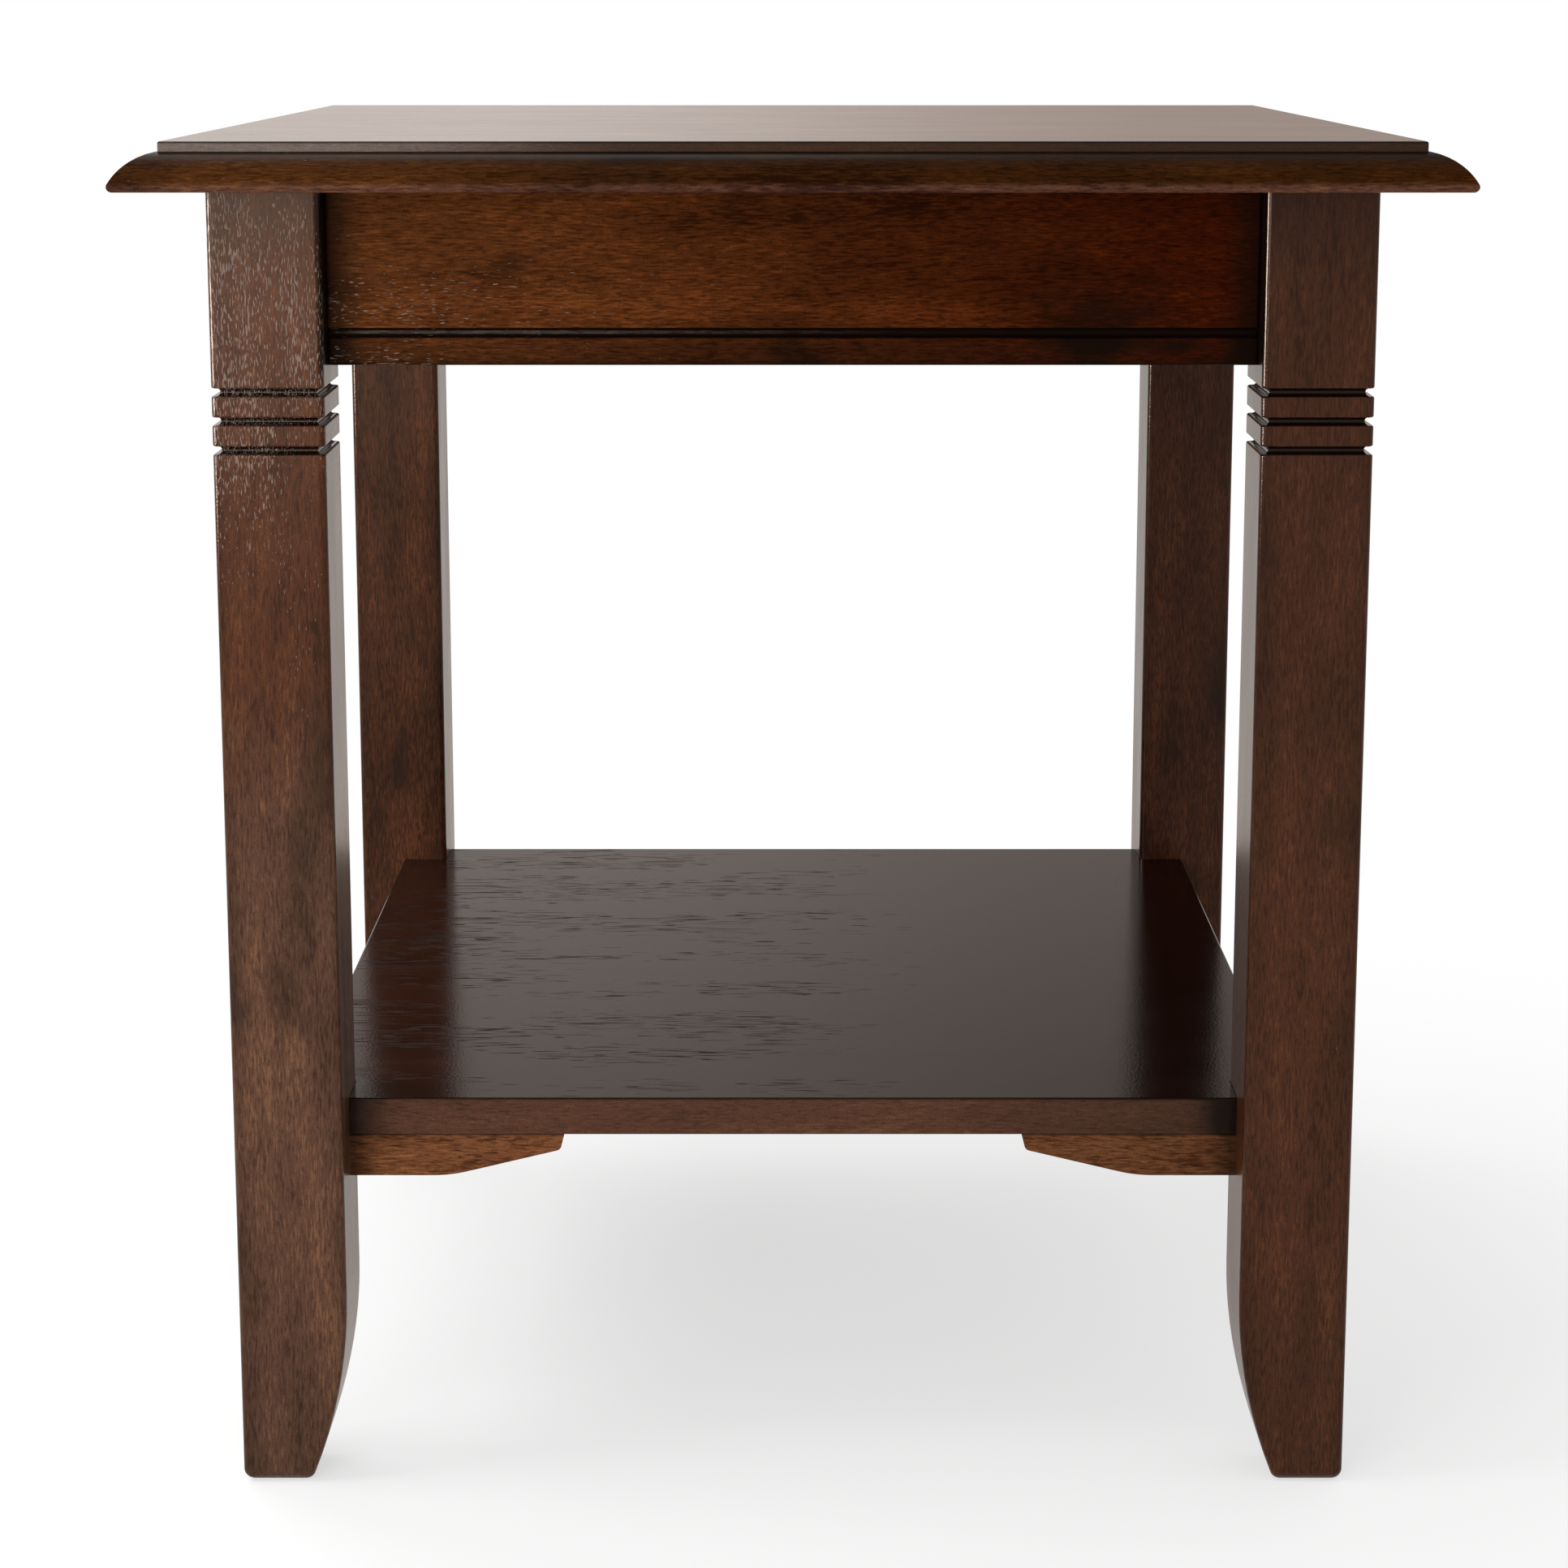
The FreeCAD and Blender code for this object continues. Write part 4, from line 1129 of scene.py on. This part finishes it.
def white_sky(studio):
    """Soft light from all round, and a white backdrop that is dimmer at the right in the lacquer's gloss."""
    world = bpy.data.worlds.new("sky")
    world.use_nodes = True
    world.node_tree.nodes.clear()
    net = Painting(world.node_tree)
    way = net.node("ShaderNodeTexCoord").outputs["Generated"]
    x, y, z = net.node("ShaderNodeSeparateXYZ", {0: way}).outputs
    right = net.product(net.ramp(x, *BACKDROP_RIGHT), net.ramp(y, *BACKDROP_REAR))
    backdrop = seen_white(net, net.blend(right, tuple(studio.reflected), tuple(studio.reflected_right)))
    soft = net.node("ShaderNodeBackground", {"Color": WHITE, "Strength": studio.sky}).outputs[0]
    white = net.node("ShaderNodeBackground", {"Color": backdrop, "Strength": 1.0}).outputs[0]
    share = net.product(seen_directly(net), net.ramp(z, *BACKDROP_TOP))
    mixed = net.node("ShaderNodeMixShader", {0: share, 1: soft, 2: white}).outputs[0]
    net.node("ShaderNodeOutputWorld", {"Surface": mixed})
    return world


def hang_lamp(name, studio):
    """A soft lamp that faces the table and that the camera doesn't see."""
    power_of, place, size = LAMPS[name]
    light = bpy.data.lights.new(name, "AREA")
    light.shape = "RECTANGLE"
    light.size, light.size_y = size
    light.energy = getattr(studio, power_of)
    holder = bpy.data.objects.new(name, light)
    bpy.context.scene.collection.objects.link(holder)
    holder.visible_camera = False
    holder.location = place
    holder.rotation_euler = (Vector(LAMP_AIM) - Vector(place)).to_track_quat("-Z", "Y").to_euler()
    return holder


def light_only(holder, nodes):
    """Keeps a lamp's light on some of the nodes."""
    lit = bpy.data.collections.new(holder.name)
    for node in nodes:
        lit.objects.link(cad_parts[node])
    holder.light_linking.receiver_collection = lit


def set_camera(scene, studio):
    """A camera in front of the table that looks down a little."""
    camera = bpy.data.objects.new("camera", bpy.data.cameras.new("camera"))
    scene.collection.objects.link(camera)
    camera.location = (0.0, -studio.camera_distance, studio.camera_height)
    camera.rotation_euler = (math.pi / 2 - studio.camera_pitch, 0.0, 0.0)
    camera.data.lens = studio.lens
    camera.data.sensor_width = studio.sensor
    camera.data.shift_x = studio.shift_x
    camera.data.shift_y = studio.shift_y
    camera.data.clip_start = CAMERA_NEAR
    scene.camera = camera


# Operators

# Index of refraction of each finish: a higher one is glossier
TOP_INDEX = 1.25
MOULDING_INDEX = 1.105
LEG_INDEX = 1.30
APRON_INDEX = 1.10
SHELF_INDEX = 1.165
BRACKET_INDEX = 1.20

# How lively the figure of the front and the rear legs is
LEG_CONTRAST = {"front": 1.0, "rear": 1.35}

# How much finer the bands of the corner blocks and of the dowels are
BLOCK_SCALE = 1.0
DOWEL_SCALE = 3.0


class TABLE_OT_top(Operator):
    """Stain the top board and its four mouldings"""

    bl_idname = "table.top"
    bl_label = "Top"
    bl_options = {"REGISTER", "UNDO"}

    def execute(self, context):
        stains = {"left": "top", "right": "top", "edge": "top_edge", "worn": "top_edge_highlight"}
        board = board_finish("top_panel", **stains, pores=0.45, matt=0.3, joint_shade=0.0)
        material = stained(
            "top stain", ALONG_X, board, TOP_INDEX, BOARD_GLOSS, pores="dash", contrast=0.55, satin=0.70
        )
        dress(material, "top_panel")
        for turn, axis, sides, _ in PAIRS:
            material = stained("moulding stain " + axis, turn, moulding_finish, MOULDING_INDEX, WARM_GLOSS)
            dress(material, *("top_moulding_" + side for side in sides))
        return {"FINISHED"}


class TABLE_OT_legs(Operator):
    """Stain the four legs"""

    bl_idname = "table.legs"
    bl_label = "Legs"
    bl_options = {"REGISTER", "UNDO"}

    def execute(self, context):
        for row, contrast in LEG_CONTRAST.items():
            name = row + " leg stain"
            material = stained(name, ALONG_Z, leg_finish, LEG_INDEX, LEG_GLOSS, contrast=contrast)
            dress(material, *(leg for leg in LEGS if row in leg))
        return {"FINISHED"}


class TABLE_OT_aprons(Operator):
    """Stain the four aprons"""

    bl_idname = "table.aprons"
    bl_label = "Aprons"
    bl_options = {"REGISTER", "UNDO"}

    def execute(self, context):
        for turn, axis, sides, _ in PAIRS:
            name = "apron stain " + axis
            material = stained(name, turn, apron_finish, APRON_INDEX, WARM_GLOSS, contrast=1.1)
            dress(material, *("apron_" + side for side in sides))
        return {"FINISHED"}


class TABLE_OT_shelf(Operator):
    """Stain the shelf and the brackets under it"""

    bl_idname = "table.shelf"
    bl_label = "Shelf and brackets"
    bl_options = {"REGISTER", "UNDO"}

    def execute(self, context):
        stains = {"left": "shelf_left", "right": "shelf_right", "edge": "shelf_edge", "worn": "shelf_edge"}
        board = board_finish("shelf", **stains, pores=0.95, matt=0.0, joint_shade=0.80)
        material = stained(
            "shelf stain", ALONG_X, board, SHELF_INDEX, BOARD_GLOSS, pores="dash", contrast=0.6, satin=0.55
        )
        dress(material, "shelf")
        for turn, axis, sides, ends in PAIRS:
            name = "bracket stain " + axis
            material = stained(name, turn, bracket_finish, BRACKET_INDEX, WARM_GLOSS, pores="streak")
            dress(material, *(f"shelf_bracket_{side}_{end}" for side in sides for end in ends))
        return {"FINISHED"}


class TABLE_OT_blocks(Operator):
    """Give the corner blocks their bare wood"""

    bl_idname = "table.blocks"
    bl_label = "Corner blocks"
    bl_options = {"REGISTER", "UNDO"}

    def execute(self, context):
        wood = context.scene.table_bare
        for turn, way, corners in (
            (ALONG_FALL, "fall", ("front_left", "rear_right")),
            (ALONG_RISE, "rise", ("front_right", "rear_left")),
        ):
            material = bare_wood("block wood " + way, turn, wood.block_pale, wood.block_dark, BLOCK_SCALE)
            dress(material, *("corner_block_" + corner for corner in corners))
        return {"FINISHED"}


class TABLE_OT_dowels(Operator):
    """Make the fluted dowels of the aprons and brackets"""

    bl_idname = "table.dowels"
    bl_label = "Dowels"
    bl_options = {"REGISTER", "UNDO"}

    def execute(self, context):
        hardware, wood = context.scene.table_hardware, context.scene.table_bare
        tree = dowel_tree()
        material = bare_wood("dowel wood", ALONG_X, wood.dowel_pale, wood.dowel_dark, DOWEL_SCALE)
        for node, across in (
            ("apron_dowels", hardware.apron_dowel),
            ("bracket_dowels", hardware.bracket_dowel),
        ):
            sizes = {"Diameter": across, "Flutes": float(hardware.dowel_flutes)}
            spread(tree, node, material, sizes)
        return {"FINISHED"}


class TABLE_OT_screws(Operator):
    """Make the wood screws of the top, the corner blocks and the brackets"""

    bl_idname = "table.screws"
    bl_label = "Screws"
    bl_options = {"REGISTER", "UNDO"}

    def execute(self, context):
        hardware = context.scene.table_hardware
        tree = screw_tree()
        material = plated_steel("yellow zinc", hardware.brass_pale, hardware.brass_dark)
        sizes = {
            "Shank": hardware.screw_shank,
            "Head": hardware.screw_head,
            "Head height": hardware.screw_head_height,
            "Tip": hardware.screw_tip,
            "Pitch": hardware.screw_pitch,
            "Recess length": hardware.recess_length,
            "Recess width": hardware.recess_width,
            "Recess depth": hardware.recess_depth,
        }
        for node in ("top_screws", "block_screws", "bracket_screws"):
            spread(tree, node, material, sizes)
        return {"FINISHED"}


class TABLE_OT_bolts(Operator):
    """Make the hanger bolts with their washers and nuts"""

    bl_idname = "table.bolts"
    bl_label = "Hanger bolts"
    bl_options = {"REGISTER", "UNDO"}

    def execute(self, context):
        hardware = context.scene.table_hardware
        material = plated_steel("zinc", hardware.zinc_pale, hardware.zinc_dark)
        shank = hardware.bolt_shank
        sizes = {"Shank": shank, "Tip": hardware.bolt_tip, "Pitch": hardware.bolt_pitch}
        spread(bolt_tree(), "hanger_bolts", material, sizes)
        sizes = {"Outside": hardware.washer_outside, "Bore": shank * WASHER_BORE}
        spread(washer_tree(), "hanger_washers", material, sizes, flat=True)
        sizes = {"Flats": hardware.nut_flats, "Bore": shank * NUT_BORE}
        spread(nut_tree(), "hanger_nuts", material, sizes, flat=True)
        return {"FINISHED"}


class TABLE_OT_studio(Operator):
    """Lay the floor, and set the sky, lamps and camera"""

    bl_idname = "table.studio"
    bl_label = "Studio"
    bl_options = {"REGISTER", "UNDO"}

    def execute(self, context):
        scene, studio = context.scene, context.scene.table_studio
        lay_floor(studio)
        scene.world = white_sky(studio)
        lamps = {name: hang_lamp(name, studio) for name in LAMPS}
        lamps["glint lamp"].visible_diffuse = False
        light_only(lamps["glint lamp"], LEGS)
        set_camera(scene, studio)
        scene.view_settings.view_transform = "Standard"
        return {"FINISHED"}


class TABLE_PT_panel(Panel):
    """Everything that makes the table"""

    bl_idname = "TABLE_PT_panel"
    bl_label = "Accent table"
    bl_space_type = "VIEW_3D"
    bl_region_type = "UI"
    bl_category = "Table"

    def draw(self, context):
        for name, group in GROUPS.items():
            box = self.layout.box()
            for value in group.__annotations__:
                box.prop(getattr(context.scene, name), value)
        for operator in OPERATORS:
            self.layout.operator(operator.bl_idname)


GROUPS = {
    "table_wood": StainedWood,
    "table_legs": LegShading,
    "table_aprons": ApronShading,
    "table_mouldings": MouldingShading,
    "table_boards": BoardShading,
    "table_brackets": BracketShading,
    "table_bare": BareWood,
    "table_hardware": Hardware,
    "table_studio": Studio,
}
OPERATORS = (
    TABLE_OT_top,
    TABLE_OT_legs,
    TABLE_OT_aprons,
    TABLE_OT_shelf,
    TABLE_OT_blocks,
    TABLE_OT_dowels,
    TABLE_OT_screws,
    TABLE_OT_bolts,
    TABLE_OT_studio,
)
CLASSES = (*GROUPS.values(), *OPERATORS, TABLE_PT_panel)


def register():
    for made in CLASSES:
        bpy.utils.register_class(made)
    for name, group in GROUPS.items():
        setattr(bpy.types.Scene, name, PointerProperty(type=group))


def unregister():
    for name in GROUPS:
        delattr(bpy.types.Scene, name)
    for made in reversed(CLASSES):
        bpy.utils.unregister_class(made)


def main():
    register()
    for step in ("top", "legs", "aprons", "shelf", "blocks", "dowels", "screws", "bolts", "studio"):
        getattr(bpy.ops.table, step)()


if __name__ == "__main__":
    main()
